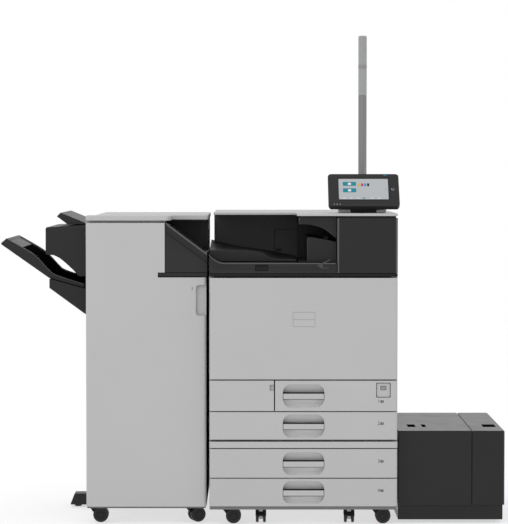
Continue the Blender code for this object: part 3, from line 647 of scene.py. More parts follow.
def main_cabinets():
    upper = copy_of_node("main_cabinet_walls", "main_cabinet")
    carve(
        upper,
        vent((0.05, 0.35), (BACK - 0.004, BACK + 0.02), (0.62, 0.70)),
        vent((-0.09, 0.03), (BACK - 0.004, BACK + 0.02), (0.32, 0.38)),
        vent((MAIN_RIGHT - 0.004, MAIN_RIGHT + 0.02), (0.225, 0.315), (0.60, 0.70)),
        slab("rear_seam", (-0.20, 0.52), (BACK - 0.0015, BACK + 0.02), (0.5285, 0.5315)),
        slab("socket", (-0.090, -0.040), (BACK - 0.018, BACK + 0.02), (0.290, 0.322)),
    )
    soften(upper, 0.0012, steps=2)
    fit(upper, COVERS, PLASTIC, "main", "main_cabinet")
    lower = copy_of_node("feeder_cabinet_walls", "feeder_cabinet")
    round_edges(lower, 0.008, at_front_corner)
    carve(
        lower,
        slab("seam", (-0.20, 0.52), (BACK - 0.0015, BACK + 0.02), (0.150, 0.153)),
        vent((0.10, 0.30), (BACK - 0.004, BACK + 0.02), (0.19, 0.225)),
    )
    soften(lower, 0.0011, steps=2)
    fit(lower, COVERS, PLASTIC, "main", "feeder_cabinet")
    bar = slab(
        "base_bar",
        (MAIN_LEFT + 0.002, MAIN_RIGHT - 0.002),
        (FRONT + 0.0012, FRONT + 0.006),
        (0.0500, 0.0583),
    )
    soften(bar, 0.0010)
    fit(bar, BAR, PLASTIC, "main")


def power_switch():
    rocker = copy_of_node("power_switch", "power_rocker")
    soften(rocker, 0.0010, steps=3)
    fit(rocker, GREY, DARK, "power_rocker", "power_rocker")
    frame_plate = slab("switch_frame", (0.3878, 0.4292), (FRONT + 0.0045, FRONT + 0.0065), (0.4020, 0.4450))
    round_edges(frame_plate, 0.003, along_depth, steps=3)
    carve(frame_plate, slab("hole", (0.3995, 0.4175), (FRONT, FRONT + 0.02), (0.4235, 0.4365)))
    soften(frame_plate, 0.0006)
    fit(frame_plate, COVERS, PLASTIC, "main")


def side_covers():
    low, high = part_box("right_cover")
    cover = copy_of_node("jam_cover", "right_cover")
    grip = slab("grip", (high.x - 0.006, high.x + 0.02), (-0.05, 0.05), (0.716, 0.734))
    round_edges(grip, 0.005, along_width)
    soften(carve(cover, grip), 0.0015)
    fit(cover, COVERS, PLASTIC, "right_cover", "right_cover")
    low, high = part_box("bypass_tray")
    tray = slab("bypass_tray_panel", (low.x, high.x), (low.y, high.y), (low.z, high.z))
    catch = slab("catch", (high.x - 0.005, high.x + 0.02), (-0.025, 0.025), (0.668, 0.690))
    round_edges(catch, 0.004, along_width)
    soften(carve(tray, catch), 0.0012)
    fit(tray, COVERS, PLASTIC, "bypass_tray", "bypass_tray")


def engine_room():
    """What the doors hide keeps its frame shape and gets its finish."""
    for colour, tone in {
        "yellow": (0.80, 0.58, 0.03),
        "magenta": (0.58, 0.02, 0.20),
        "cyan": (0.02, 0.32, 0.58),
        "black": (0.02, 0.02, 0.02),
    }.items():
        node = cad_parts["toner_bottle_" + colour]
        finish = finish_of("bottle_" + colour, tone, 0.3, grain=0.05, drift=0.08)
        bottle = copy_of_node(colour + "_bottle", node.name)
        soften(bottle, 0.002, steps=2)
        fit(bottle, finish, "toner_" + colour, "main", node.name)
    for node, finish in (("transfer_belt_unit", DARK_BOX), ("fuser_unit", DARK_BOX)):
        unit = copy_of_node(node.replace("_unit", "_module"), node)
        soften(unit, 0.002, steps=2)
        fit(unit, finish, "dark_grey_plastic", "main", node)
    bottle = copy_of_node("waste_bottle", "waste_toner_bottle")
    soften(bottle, 0.006, steps=4)
    fit(bottle, COVERS, PLASTIC, "main", "waste_toner_bottle")


# ---- paper bay


def roof():
    outline = [
        (-0.1235, FRONT + 0.190),
        (0.139, FRONT + 0.190),
        (0.139, FRONT),
        (MAIN_RIGHT, FRONT),
        (MAIN_RIGHT, BACK),
        (-0.1235, BACK),
    ]
    cover = push("roof_panel", outline, 0.966, 0.974, "Z")
    round_edges(cover, 0.010, lambda middle, way: upright(middle, way) and middle.x > 0.4)
    round_edges(cover, 0.004, lambda middle, way: upright(middle, way) and middle.x < 0.4)
    soften(cover, 0.0020, steps=4, angle=60)
    fit(cover, COVERS, PLASTIC, "main", "roof_cover")


def bay_walls():
    rear = copy_of_node("rear_housing", "output_housing")
    outline = slab("outline", (0.0715, 0.1500), (FRONT + 0.3990, FRONT + 0.4018), (0.8430, 0.9165))
    round_edges(outline, 0.006, lambda m, way: abs(way.y) > 0.9 and m.x < 0.073 and m.z > 0.9, steps=4)
    inner = slab("inner", (0.0748, 0.1600), (FRONT + 0.39, FRONT + 0.41), (0.8380, 0.9132))
    round_edges(inner, 0.004, lambda m, way: abs(way.y) > 0.9 and m.x < 0.075 and m.z > 0.9, steps=4)
    carve(outline, inner)
    carve(rear, outline)
    carve(rear, vent((-0.06, 0.16), (0.3385, 0.36), (0.88, 0.93)))
    soften(rear, 0.0008, steps=2)
    # Painted light: the bay wall gets a paler black than the other black covers.
    fit(rear, WALL, DARK, "main", "output_housing")
    seam = slab("bay_panel_seam", (0.0717, 0.1500), (FRONT + 0.3991, FRONT + 0.4010), (0.8432, 0.9163))
    round_edges(seam, 0.006, lambda m, way: abs(way.y) > 0.9 and m.x < 0.073 and m.z > 0.9, steps=4)
    hole = slab("hole", (0.0744, 0.1600), (FRONT + 0.39, FRONT + 0.41), (0.8380, 0.9136))
    round_edges(hole, 0.004, lambda m, way: abs(way.y) > 0.9 and m.x < 0.075 and m.z > 0.9, steps=4)
    carve(seam, hole)
    fit(seam, SATIN, DARK, "main")
    catch = slab("bay_catch", (0.078, 0.094), (FRONT + 0.3965, FRONT + 0.4005), (0.8445, 0.8520))
    soften(catch, 0.0010)
    fit(catch, SATIN, DARK, "main")

    low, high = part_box("upper_right_cover")
    cover = slab("upper_right_panel", (low.x, high.x), (low.y, high.y), (low.z, high.z))
    round_edges(
        cover,
        0.0085,
        lambda middle, way: upright(middle, way) and middle.y < FRONT + 0.001,
        steps=6,
    )
    inside = slab(
        "inside",
        (low.x + 0.004, high.x - 0.004),
        (low.y + 0.004, high.y - 0.004),
        (low.z - 0.02, high.z - 0.004),
    )
    carve(cover, inside)
    soften(cover, 0.0020, steps=4)
    fit(cover, BLACK, DARK, "main", "upper_right_cover")
    # Painted highlight on the cover's rounded upright corners.
    tint_faces(cover, PAINTED_HIGHLIGHT, lambda middle, way: way.y < -0.15 and abs(way.x) > 0.15)
    neck = slab("roof_neck", (low.x + 0.004, high.x - 0.006), (low.y + 0.006, high.y), (0.9594, 0.9662))
    soften(neck, 0.0005, steps=2)
    fit(neck, SATIN, DARK, "main")


def exit_arch():
    """The engine's paper exit: a block below, an arch above, and the slot between them."""
    left, right = 0.146, 0.2625
    arch = [(left - 0.02, 0.9395), (0.170, 0.9395), (0.205, 0.9335), (0.231, 0.9215), (0.262, 0.8960)]
    arch = curve_through(arch, 5)
    lower = curve_through([(0.262, 0.8850), (0.225, 0.8925), (0.190, 0.8985), (0.180, 0.8992)], 4)
    cheek = [(0.175, 0.8975), (0.172, 0.8930), (0.172, 0.8240), (left - 0.02, 0.8240)]
    body = slab("exit_block", (left, right), (FRONT + 0.020, FRONT + 0.3995), (0.8215, 0.9630))
    round_edges(
        body,
        0.012,
        lambda middle, way: abs(way.y) > 0.9 and middle.x < left + 0.001 and middle.z > 0.96,
    )
    slot = push("slot", arch + lower + cheek, FRONT + 0.0, FRONT + 0.394, "Y")
    carve(body, slot)
    set_back = slab("set_back", (left - 0.02, right + 0.02), (FRONT, FRONT + 0.031), (0.80, 0.8995))
    carve(body, set_back)
    foot = slab("foot", (0.172, right), (FRONT + 0.058, FRONT + 0.3995), (0.7880, 0.8230))
    weld(body, foot)
    soften(body, 0.0016, steps=3, angle=40)
    fit(body, BLACK, DARK, "main", "exit_housing")
    # Painted highlight on the block's rounded left edge.
    tint_faces(body, PAINTED_HIGHLIGHT, lambda middle, way: way.y < -0.1 and way.x < -0.1 and middle.y < FRONT + 0.06)
    for n in range(3):
        roller = rod(
            f"exit_roller_{n}",
            (0.232, FRONT + 0.10 + n * 0.10, 0.8945),
            (0.232, FRONT + 0.13 + n * 0.10, 0.8945),
            0.007,
            24,
        )
        soften(roller, 0.0008)
        fit(roller, SATIN, DARK, "main")


def front_rail():
    """Rail in front of the deck, rising to the finisher, with the joint line and latches on its face."""
    left, right = MAIN_LEFT + 0.0005, 0.2630
    top = curve_through(
        [(-0.070, 0.8208), (-0.092, 0.8214), (-0.107, 0.8255), (-0.122, 0.8345), (left, 0.8455)],
        5,
    )
    rail = push(
        "deck_rail",
        [(left, 0.7880), (right, 0.7880), (right, 0.8208)] + top,
        FRONT + 0.0005,
        FRONT + 0.055,
        "Y",
    )
    body = slab("body", (left, 0.1385), (FRONT + 0.050, FRONT + 0.3945), (0.7880, 0.8210))
    weld(rail, body)
    joint = curve_through(
        [
            (right + 0.01, 0.8052),
            (-0.070, 0.8052),
            (-0.096, 0.8068),
            (-0.116, 0.8130),
            (left - 0.01, 0.8235),
        ],
        5,
    )
    under = [(x, z - 0.0022) for x, z in reversed(joint)]
    carve(rail, push("joint", joint + under, FRONT - 0.01, FRONT + 0.0060, "Y"))
    carve(rail, slab("latch_bed", (0.0090, 0.0500), (FRONT - 0.01, FRONT + 0.0070), (0.7955, 0.8150)))
    soften(rail, 0.0030, steps=4, angle=40)
    fit(rail, BLACK, DARK, "main", "bridge_unit")
    # Painted highlight: a paler strip along the rail's top edge.
    edge = [(x, z - 0.0006) for x, z in top]
    edge = [(right - 0.004, 0.8202), (-0.072, 0.8202)] + edge[1:]
    edge = edge + [(x, z - 0.0030) for x, z in reversed(edge)]
    strip = push("rail_painted_highlight", edge, FRONT + 0.0001, FRONT + 0.0120, "Y")
    fit(strip, PAINTED_HIGHLIGHT, DARK, "main")
    latch = slab("rail_latch", (0.0100, 0.0490), (FRONT + 0.0025, FRONT + 0.0080), (0.7965, 0.8140))
    carve(latch, slab("finger", (0.0150, 0.0440), (FRONT - 0.01, FRONT + 0.0050), (0.8080, 0.8120)))
    soften(latch, 0.0010)
    fit(latch, SATIN, DARK, "main")
    hook = [
        (0.2010, 0.8130), (0.2430, 0.8330), (0.2430, 0.8290), (0.2200, 0.8170), (0.2200, 0.8060),
        (0.2380, 0.8060), (0.2380, 0.8030), (0.2140, 0.8030),
    ]
    lever = push("rail_lever", hook, FRONT - 0.0003, FRONT + 0.0040, "Y")
    soften(lever, 0.0008, steps=2)
    # The lever takes the bay wall's paler black.
    fit(lever, WALL, DARK, "main")
    lip = slab("door_lip", (left, MAIN_RIGHT - 0.0005), (FRONT + 0.003, FRONT + 0.021), (0.7778, 0.7872))
    soften(lip, 0.0008)
    fit(lip, SATIN, DARK, "main")


def deck():
    """Paper deck: a swell from the finisher down to the exit, deeper at the front than at the back."""
    left, right = MAIN_LEFT + 0.0005, 0.1385
    near = [
        (left, 0.8585), (-0.060, 0.8574), (-0.005, 0.8558), (0.027, 0.8510), (0.045, 0.8420),
        (0.072, 0.8315), (right, 0.8290),
    ]
    far = [
        (left, 0.8825), (-0.097, 0.8710), (-0.036, 0.8590), (0.034, 0.8492), (0.081, 0.8412),
        (0.112, 0.8345), (right, 0.8300),
    ]
    front_y, back_y = FRONT + 0.0595, FRONT + 0.390
    rows = []
    for line, y in ((near, front_y), (far, back_y)):
        rows.append(draw("row", [(x, y, z) for x, z in curve_through(line, 6)]))
    lid = join(rows)
    lid.name = "paper_deck"
    pick(lid, "EDGE", lambda middle, way: True)
    bpy.ops.mesh.bridge_edge_loops(number_cuts=6)
    bpy.ops.mesh.select_all(action="SELECT")
    bpy.ops.mesh.extrude_region_move(TRANSFORM_OT_translate={"value": (0, 0, -0.09)})
    bpy.ops.mesh.select_all(action="SELECT")
    bpy.ops.mesh.bisect(plane_co=(0, 0, 0.8225), plane_no=(0, 0, 1), use_fill=True, clear_inner=True)
    bpy.ops.mesh.select_all(action="SELECT")
    bpy.ops.mesh.normals_make_consistent(inside=False)
    bpy.ops.object.mode_set(mode="OBJECT")
    soften(lid, 0.0016, steps=3, angle=40)
    fit(lid, BLACK, DARK, "bridge_lid", "bridge_lid")


# ---- touch panel and attention light


PANEL_MIDDLE = Vector((0.350, FRONT + 0.0875, 1.0435))
PANEL_LEAN = math.radians(42)


def on_panel(u, v, w):
    """A point given across the panel, up its face and out of it."""
    up = Vector((0, math.sin(PANEL_LEAN), math.cos(PANEL_LEAN)))
    out = Vector((0, -math.cos(PANEL_LEAN), math.sin(PANEL_LEAN)))
    return PANEL_MIDDLE + Vector((u, 0, 0)) + up * v + out * w


def lean(piece):
    """Turns a piece made flat, face up at the origin, onto the panel's face."""
    take(piece)
    piece.rotation_euler = (math.pi / 2 - PANEL_LEAN, 0, 0)
    piece.location = PANEL_MIDDLE
    bpy.ops.object.transform_apply(location=True, rotation=True, scale=True)
    return piece


def flat_tile(name, u, v, w, corner=0.0008):
    tile = slab(name, u, v, w)
    round_edges(tile, corner, upright, steps=2)
    return lean(tile)


def touch_panel():
    base = copy_of_node("panel_foot", "panel_base")
    soften(base, 0.0015)
    # Painted light: the foot is paler than the covers, to offset the shade under the panel.
    fit(base, PALE, PLASTIC, "main", "panel_base")
    shade = slab("panel_foot_front", (0.3090, 0.3915), (FRONT + 0.0988, FRONT + 0.1012), (0.9748, 0.9842))
    fit(shade, SATIN, DARK, "main")
    saddle = slab("panel_foot_centre", (0.3090, 0.3915), (FRONT + 0.101, FRONT + 0.149), (0.9838, 0.9880))
    soften(saddle, 0.0012)
    fit(saddle, SATIN, DARK, "main")

    case = slab("panel_case", (-0.1115, 0.1115), (-0.0640, 0.071), (-0.016, 0.0))
    round_edges(case, 0.011, upright, steps=6)
    round_edges(case, 0.010, lambda middle, way: middle.z < -0.0159 and middle.y < -0.0639, steps=5)
    round_edges(case, 0.004, lambda middle, way: middle.z < -0.0159 and middle.y > -0.060, steps=4)
    lean(case)
    neck = [
        (FRONT + 0.070, 1.0080),
        (FRONT + 0.070, 0.9960),
        (FRONT + 0.117, 0.9905),
        (FRONT + 0.133, 0.9905),
        (FRONT + 0.135, 1.0060),
        (FRONT + 0.098, 1.0330),
    ]
    weld(case, soften(push("neck", neck, 0.3095, 0.3910, "X"), 0.002))
    well = slab("well", (-0.0850, 0.0845), (-0.0425, 0.0555), (-0.0004, 0.01))
    round_edges(well, 0.004, upright)
    carve(case, lean(well))
    key_hole = rod("key_hole", on_panel(0.0917, 0.007, -0.004), on_panel(0.0917, 0.007, 0.01), 0.0053, 32)
    carve(case, key_hole)
    soften(case, 0.0012, steps=3)
    fit(case, BLACK, DARK, "touch_panel", "panel_housing")

    glass = flat_tile("panel_glass", (-0.07815, 0.07715), (-0.0360, 0.0490), (0.0002, 0.0013), 0.002)
    fit(glass, SCREEN, "display_glass", "touch_panel", "panel_display")
    screen_marks()
    key = rod(
        "round_home_key",
        on_panel(0.0917, 0.007, -0.0025),
        on_panel(0.0917, 0.007, 0.0010),
        0.0046,
        32,
    )
    soften(key, 0.0008)
    fit(key, COVERS, PLASTIC, "home_key", "home_key")
    centre = rod(
        "home_key_centre",
        on_panel(0.0917, 0.007, 0.0005),
        on_panel(0.0917, 0.007, 0.0013),
        0.0033,
        32,
    )
    soften(centre, 0.0003, steps=2)
    fit(centre, RECESS, PLASTIC, "home_key")
    lights = []
    for n in range(3):
        lights.append(
            flat_tile(
                "light",
                (-0.0950 + n * 0.009, -0.0922 + n * 0.009),
                (-0.0562, -0.0546),
                (-0.0002, 0.0003),
                0.0003,
            ),
        )
    lamps = join(lights)
    lamps.name = "panel_lamps"
    fit(lamps, PALE, DARK, "touch_panel")
    status = flat_tile("panel_status_light", (0.0640, 0.0760), (0.0640, 0.0668), (-0.0002, 0.0006), 0.0006)
    fit(status, TEAL, DARK, "touch_panel")


def screen_marks():
    """Plain tiles, ink squares and page marks on the lit screen."""
    face = (0.0012, 0.0015)
    tiles = []
    for low, high in ((0.0200, 0.0365), (-0.0070, 0.0095)):
        tiles.append(flat_tile("tile", (-0.0650, -0.0235), (low, high), face, 0.0015))
    tiles.append(flat_tile("tile", (-0.004, 0.006), (-0.0335, -0.0290), face, 0.0005))
    group = join(tiles)
    group.name = "screen_tiles"
    fit(group, TEAL, "display_glass", "touch_panel")
    for n, colour in enumerate(INKS):
        low = -0.0170 + n * 0.0095
        square = flat_tile(f"screen_{colour}_square", (low, low + 0.0065), (0.0185, 0.0300), face, 0.0005)
        fit(square, INKS[colour], "display_glass", "touch_panel")
    pale = []
    for n in range(2):
        low = 0.0235 - n * 0.0270
        pale.append(flat_tile("pale", (-0.0490, -0.0395), (low, low + 0.0090), (0.0014, 0.0017), 0.001))
    for n in range(6):
        pale.append(
            flat_tile("pale", (-0.066 + n * 0.022, -0.058 + n * 0.022), (-0.0330, -0.0300), face, 0.0005),
        )
    marks = join(pale)
    marks.name = "screen_pale_marks"
    fit(marks, PALE, "display_glass", "touch_panel")
    for side, x in (("left", -0.0725), ("right", 0.0680)):
        turn = 1 if side == "right" else -1
        outline = [(x, 0.0010), (x + turn * 0.0030, 0.0060), (x, 0.0110), (x + turn * 0.0012, 0.0060)]
        arrow = lean(push(f"screen_{side}_arrow", outline, *face, "Z"))
        fit(arrow, GREY, "display_glass", "touch_panel")


def attention_light():
    x, y = 0.3705, FRONT + 0.620
    tube = rod("mast_tube", (x, y, 0.980), (x, y, 1.3595), 0.0140, 48)
    flange = rod("flange", (x, y, 0.9745), (x, y, 0.9820), 0.0300, 48)
    soften(flange, 0.0030, steps=4)
    collar = rod("collar", (x, y, 0.9800), (x, y, 0.9950), 0.0165, 48)
    soften(collar, 0.0020)
    weld(flange, collar)
    fit(flange, GREY, "mast_metal", "main")
    flange.name = "mast_flange"
    soften(tube, 0.0008)
    fit(tube, TUBE, "mast_metal", "main", "mast_pole")
    lens = rod("lamp_stack", (x, y, 1.3600), (x, y, 1.5598), 0.0145, 48)
    top = 1.5597
    round_edges(lens, 0.0055, lambda middle, way: middle.z > top, steps=5)
    for low in (1.4490, 1.4615):
        ring = rod("ring", (x, y, low), (x, y, low + 0.0008), 0.02, 48)
        inner = rod("inner", (x, y, low - 0.01), (x, y, low + 0.01), 0.0140, 48)
        carve(lens, carve(ring, inner))
    soften(lens, 0.0003, steps=2)
    fit(lens, LENS, "lamp_lens", "main", "mast_lens")
    band = rod("lamp_band", (x, y, 1.4500), (x, y, 1.4613), 0.01465, 48)
    soften(band, 0.0004, steps=2)
    fit(band, GREY, "lamp_lens", "main")


# ---- finisher


FIN_LEFT = -0.520
FIN_RIGHT = -0.143
FIN_FRONT = FRONT + 0.025


def finisher_cabinet():
    cabinet = copy_of_node("finisher_walls", "finisher_cabinet")
    back = FIN_FRONT + 0.613
    carve(
        cabinet,
        vent((-0.46, -0.30), (back - 0.004, back + 0.02), (0.66, 0.72)),
        slab("rear_seam", (-0.60, -0.10), (back - 0.0015, back + 0.02), (0.480, 0.483)),
        slab("side_seam", (FIN_LEFT - 0.02, FIN_LEFT + 0.0015), (-0.40, 0.40), (0.6290, 0.6315)),
    )
    soften(cabinet, 0.0015, steps=2)
    fit(cabinet, COVERS, PLASTIC, "finisher", "finisher_cabinet")
    liner = slab("recess_liner", (-0.2723, -0.1425), (FRONT + 0.3250, FRONT + 0.3262), (0.7900, 0.9500))
    soften(liner, 0.0003, steps=1)
    fit(liner, BLACK, DARK, "finisher")
    # Painted shade: a dull black sheet in the gap between the finisher and the main unit.
    joint_gap_shade = slab(
        "joint_gap_shade",
        (FIN_RIGHT - 0.0003, FIN_RIGHT + 0.0008),
        (FIN_FRONT + 0.030, FIN_FRONT + 0.300),
        (0.0700, 0.7700),
    )
    fit(joint_gap_shade, RECESS, DARK, "finisher")
    bar = slab(
        "finisher_base_bar",
        (FIN_LEFT + 0.003, FIN_RIGHT - 0.003),
        (FIN_FRONT + 0.006, FIN_FRONT + 0.021),
        (0.0500, 0.0552),
    )
    soften(bar, 0.0010)
    fit(bar, BAR, PLASTIC, "finisher")


def finisher_top():
    step = -0.2635
    outline = [
        (FIN_LEFT, FIN_FRONT),
        (step, FIN_FRONT),
        (step + 0.010, FIN_FRONT + 0.020),
        (step + 0.010, FRONT + 0.145),
        (FIN_RIGHT + 0.0025, FRONT + 0.145),
        (FIN_RIGHT + 0.0025, FIN_FRONT + 0.613),
        (FIN_LEFT + 0.024, FIN_FRONT + 0.613),
        (FIN_LEFT + 0.024, FRONT + 0.105),
        (FIN_LEFT, FRONT + 0.105),
    ]
    top = push("finisher_roof", outline, 0.9510, 0.9670, "Z")
    round_edges(top, 0.008, upright, steps=4)
    soften(top, 0.0035, steps=5, angle=60)
    fit(top, COVERS, PLASTIC, "finisher", "finisher_top_cover")
    groove = slab(
        "roof_neck_strip",
        (FIN_LEFT + 0.006, FIN_RIGHT - 0.004),
        (FRONT + 0.150, FIN_FRONT + 0.607),
        (0.9502, 0.9512),
    )
    soften(groove, 0.0002, steps=1)
    fit(groove, SATIN, DARK, "finisher")


def finisher_ramp():
    """Slope that takes sheets from the deck: a crisp outer lip with a painted highlight, a joint line below
    it and a ribbed bed.
    """
    left, right = -0.2715, FIN_RIGHT + 0.0025
    slope = [
        (right, 0.7900),
        (right, 0.8490),
        (-0.150, 0.8560),
        (-0.262, 0.9395),
        (left, 0.9470),
        (left, 0.7900),
    ]
    ramp = push("paper_ramp", slope, FIN_FRONT + 0.001, FRONT + 0.325, "Y")
    line = [(left - 0.01, 0.9240), (right + 0.01, 0.8140), (right + 0.01, 0.8125), (left - 0.01, 0.9225)]
    carve(ramp, push("line", line, FIN_FRONT - 0.01, FIN_FRONT + 0.0030, "Y"))
    bed = [
        (-0.258, 0.9600),
        (right + 0.02, 0.8640),
        (right + 0.02, 0.8460),
        (-0.152, 0.8520),
        (-0.258, 0.9310),
    ]
    carve(ramp, push("bed", bed, FIN_FRONT + 0.012, FRONT + 0.300, "Y"))
    soften(ramp, 0.0015, steps=3, angle=20)
    for n in range(5):
        y = FIN_FRONT + 0.045 + n * 0.055
        rib = push(
            "rib",
            [(-0.256, 0.9290), (-0.155, 0.8540), (-0.155, 0.8560), (-0.256, 0.9325)],
            y,
            y + 0.003,
            "Y",
        )
        weld(ramp, rib)
    bar_y = (FIN_FRONT + 0.002, FIN_FRONT + 0.021)
    bar = slab("bar", (-0.2935, right), bar_y, (0.7765, 0.7890))
    soften(bar, 0.0020)
    web = slab("web", (left, right), (bar_y[0] + 0.003, bar_y[1]), (0.7850, 0.7950))
    weld(ramp, bar, web)
    smooth(ramp)
    fit(ramp, BLACK, DARK, "finisher", "finisher_ramp")
    # Painted highlight: a paler strip along the ramp's outer lip.
    edge = [(right, 0.8488), (-0.150, 0.8558), (-0.262, 0.9393), (left + 0.002, 0.9462)]
    edge = edge + [(x, z - 0.0068) for x, z in reversed(edge)]
    lip = push("ramp_painted_highlight", edge, FIN_FRONT + 0.0002, FIN_FRONT + 0.0115, "Y")
    soften(lip, 0.0015, steps=3, angle=40)
    fit(lip, PAINTED_HIGHLIGHT, DARK, "finisher")


def finisher_door():
    left, right = FIN_LEFT + 0.0005, FIN_RIGHT - 0.0005
    step = -0.2730
    outline = [
        (left, 0.0555),
        (right, 0.0555),
        (right, 0.7740),
        (-0.2945, 0.7740),
        (-0.2945, 0.7895),
        (step, 0.7895),
        (step, 0.9440),
        (left, 0.9440),
    ]
    door = push("finisher_door_panel", outline, FIN_FRONT, FIN_FRONT + 0.020, "Y")
    round_edges(
        door,
        0.009,
        lambda m, way: upright(m, way)
        and m.y < FIN_FRONT + 0.001
        and not left + 0.001 <= m.x <= right - 0.001,
    )
    grip = slab("grip", (-0.176, right + 0.02), (FIN_FRONT - 0.02, FIN_FRONT + 0.012), (0.6545, 0.7505))
    round_edges(grip, 0.010, lambda m, way: abs(way.y) > 0.9 and m.x < -0.17)
    round_edges(grip, 0.008, lambda m, way: m.y > FIN_FRONT + 0.0119 and m.x < -0.17, steps=4)
    carve(door, grip)
    slit = slab("slit", (-0.1880, -0.1865), (FIN_FRONT - 0.01, FIN_FRONT + 0.0010), (0.7350, 0.7450))
    carve(door, slit)
    soften(door, 0.0013)
    fit(door, COVERS, PLASTIC, "finisher_door", "finisher_door")
    light = slab(
        "finisher_light",
        (-0.18795, -0.18655),
        (FIN_FRONT + 0.0002, FIN_FRONT + 0.0012),
        (0.7351, 0.7449),
    )
    soften(light, 0.0002, steps=1)
    fit(light, INK, PLASTIC, "finisher_door")


def exit_hood():
    right = FIN_LEFT - 0.0015
    belly = curve_through(
        [
            (-0.6257, 0.8410),
            (-0.6080, 0.8320),
            (-0.5900, 0.8180),
            (-0.5630, 0.7930),
            (-0.5490, 0.7770),
            (-0.5395, 0.7737),
        ],
        4,
    )
    outline = [(-0.6510, 0.9290), (-0.6510, 0.8424)] + belly + [(right, 0.7750), (right, 0.9355)]
    hood = push("exit_hood", outline, FRONT + 0.100, FRONT + 0.520, "Y")
    round_edges(hood, 0.006, lambda m, way: m.x < -0.650 and abs(way.y) > 0.9, steps=4)
    hollow = slab("hollow", (-0.645, right + 0.05), (FRONT + 0.108, FRONT + 0.512), (0.70, 0.918))
    carve(hood, hollow)
    soften(hood, 0.0018, steps=3, angle=35)
    fit(hood, BLACK, DARK, "finisher", "finisher_exit_cover")
    for n in range(3):
        y = FRONT + 0.17 + n * 0.13
        roller = rod(f"stack_roller_{n}", (-0.535, y, 0.845), (-0.535, y + 0.035, 0.845), 0.012, 32)
        soften(roller, 0.0012)
        fit(roller, TREAD, DARK, "finisher")
    shaft = rod("stack_shaft", (-0.535, FRONT + 0.109, 0.845), (-0.535, FRONT + 0.511, 0.845), 0.004, 24)
    soften(shaft, 0.0004, steps=1)
    fit(shaft, STEEL, DARK, "finisher")


def stacking_trays():
    right = FIN_LEFT - 0.0015
    outline = [
        (-0.6170, 0.9627),
        (-0.5826, 0.9371),
        (right, 0.9371),
        (right, 0.9400),
        (-0.5305, 0.9440),
        (-0.6055, 0.9747),
    ]
    upper = push("top_tray", outline, FRONT + 0.120, FRONT + 0.540, "Y")
    soften(upper, 0.0015, steps=3, angle=25)
    fit(upper, BLACK, DARK, "finisher", "upper_tray")

    left = -0.793
    top = [
        (-0.7760, 0.8935), (-0.7400, 0.8735), (-0.6928, 0.8452), (-0.6663, 0.8212),
        (-0.6420, 0.7946), (-0.6180, 0.7775), (-0.5310, 0.7495),
    ]
    outline = [
        (left, 0.8743),
        (-0.6420, 0.7680),
        (-0.5310, 0.7372),
    ] + list(reversed(curve_through(top, 5))) + [(left, 0.8793)]
    tray = push("stacking_tray", outline, FRONT + 0.120, FRONT + 0.510, "Y")
    sunk = [(x, z - 0.0045) for x, z in curve_through(top, 5)[1:-3]]
    pan = [(sunk[0][0], sunk[0][1] + 0.03)] + sunk + [(sunk[-1][0], 0.80), (-0.640, 0.86)]
    carve(tray, push("pan", pan, FRONT + 0.130, FRONT + 0.500, "Y"))
    soften(tray, 0.0015, steps=2, angle=35)
    fit(tray, BLACK, DARK, "shift_tray", "shift_tray")
    # Painted shade: the sunken pan's upward faces are dull black.
    tint_faces(
        tray,
        RECESS,
        lambda m, way: FRONT + 0.131 < m.y < FRONT + 0.499 and way.z > 0.2 and m.x > -0.735,
    )
    # Painted highlight on the rounded edges of the near rim.
    tint_faces(tray, PAINTED_HIGHLIGHT, lambda m, way: way.y < -0.2 and way.z > 0.2)
    base = [
        (-0.6405, 0.7665),
        (-0.6405, 0.7369),
        (-0.5280, 0.6547),
        (-0.5225, 0.6547),
        (-0.5225, 0.7340),
        (-0.5310, 0.7360),
    ]
    arm = push("tray_arm", base, FRONT + 0.110, FRONT + 0.520, "Y")
    soften(arm, 0.0025, steps=4)
    fit(arm, BLACK, DARK, "shift_tray", "shift_tray_base")


def stabiliser():
    foot = copy_of_node("steady_foot", "stabiliser_foot")
    soften(foot, 0.0030, steps=3)
    fit(foot, BLACK, DARK, "finisher", "stabiliser_foot")


# ---- side paper tray


LCT_LEFT = 0.458
LCT_SPLIT = 0.6885
LCT_FRONT = FRONT + 0.050
LCT_BACK = LCT_FRONT + 0.545
LCT_TOP = 0.2915


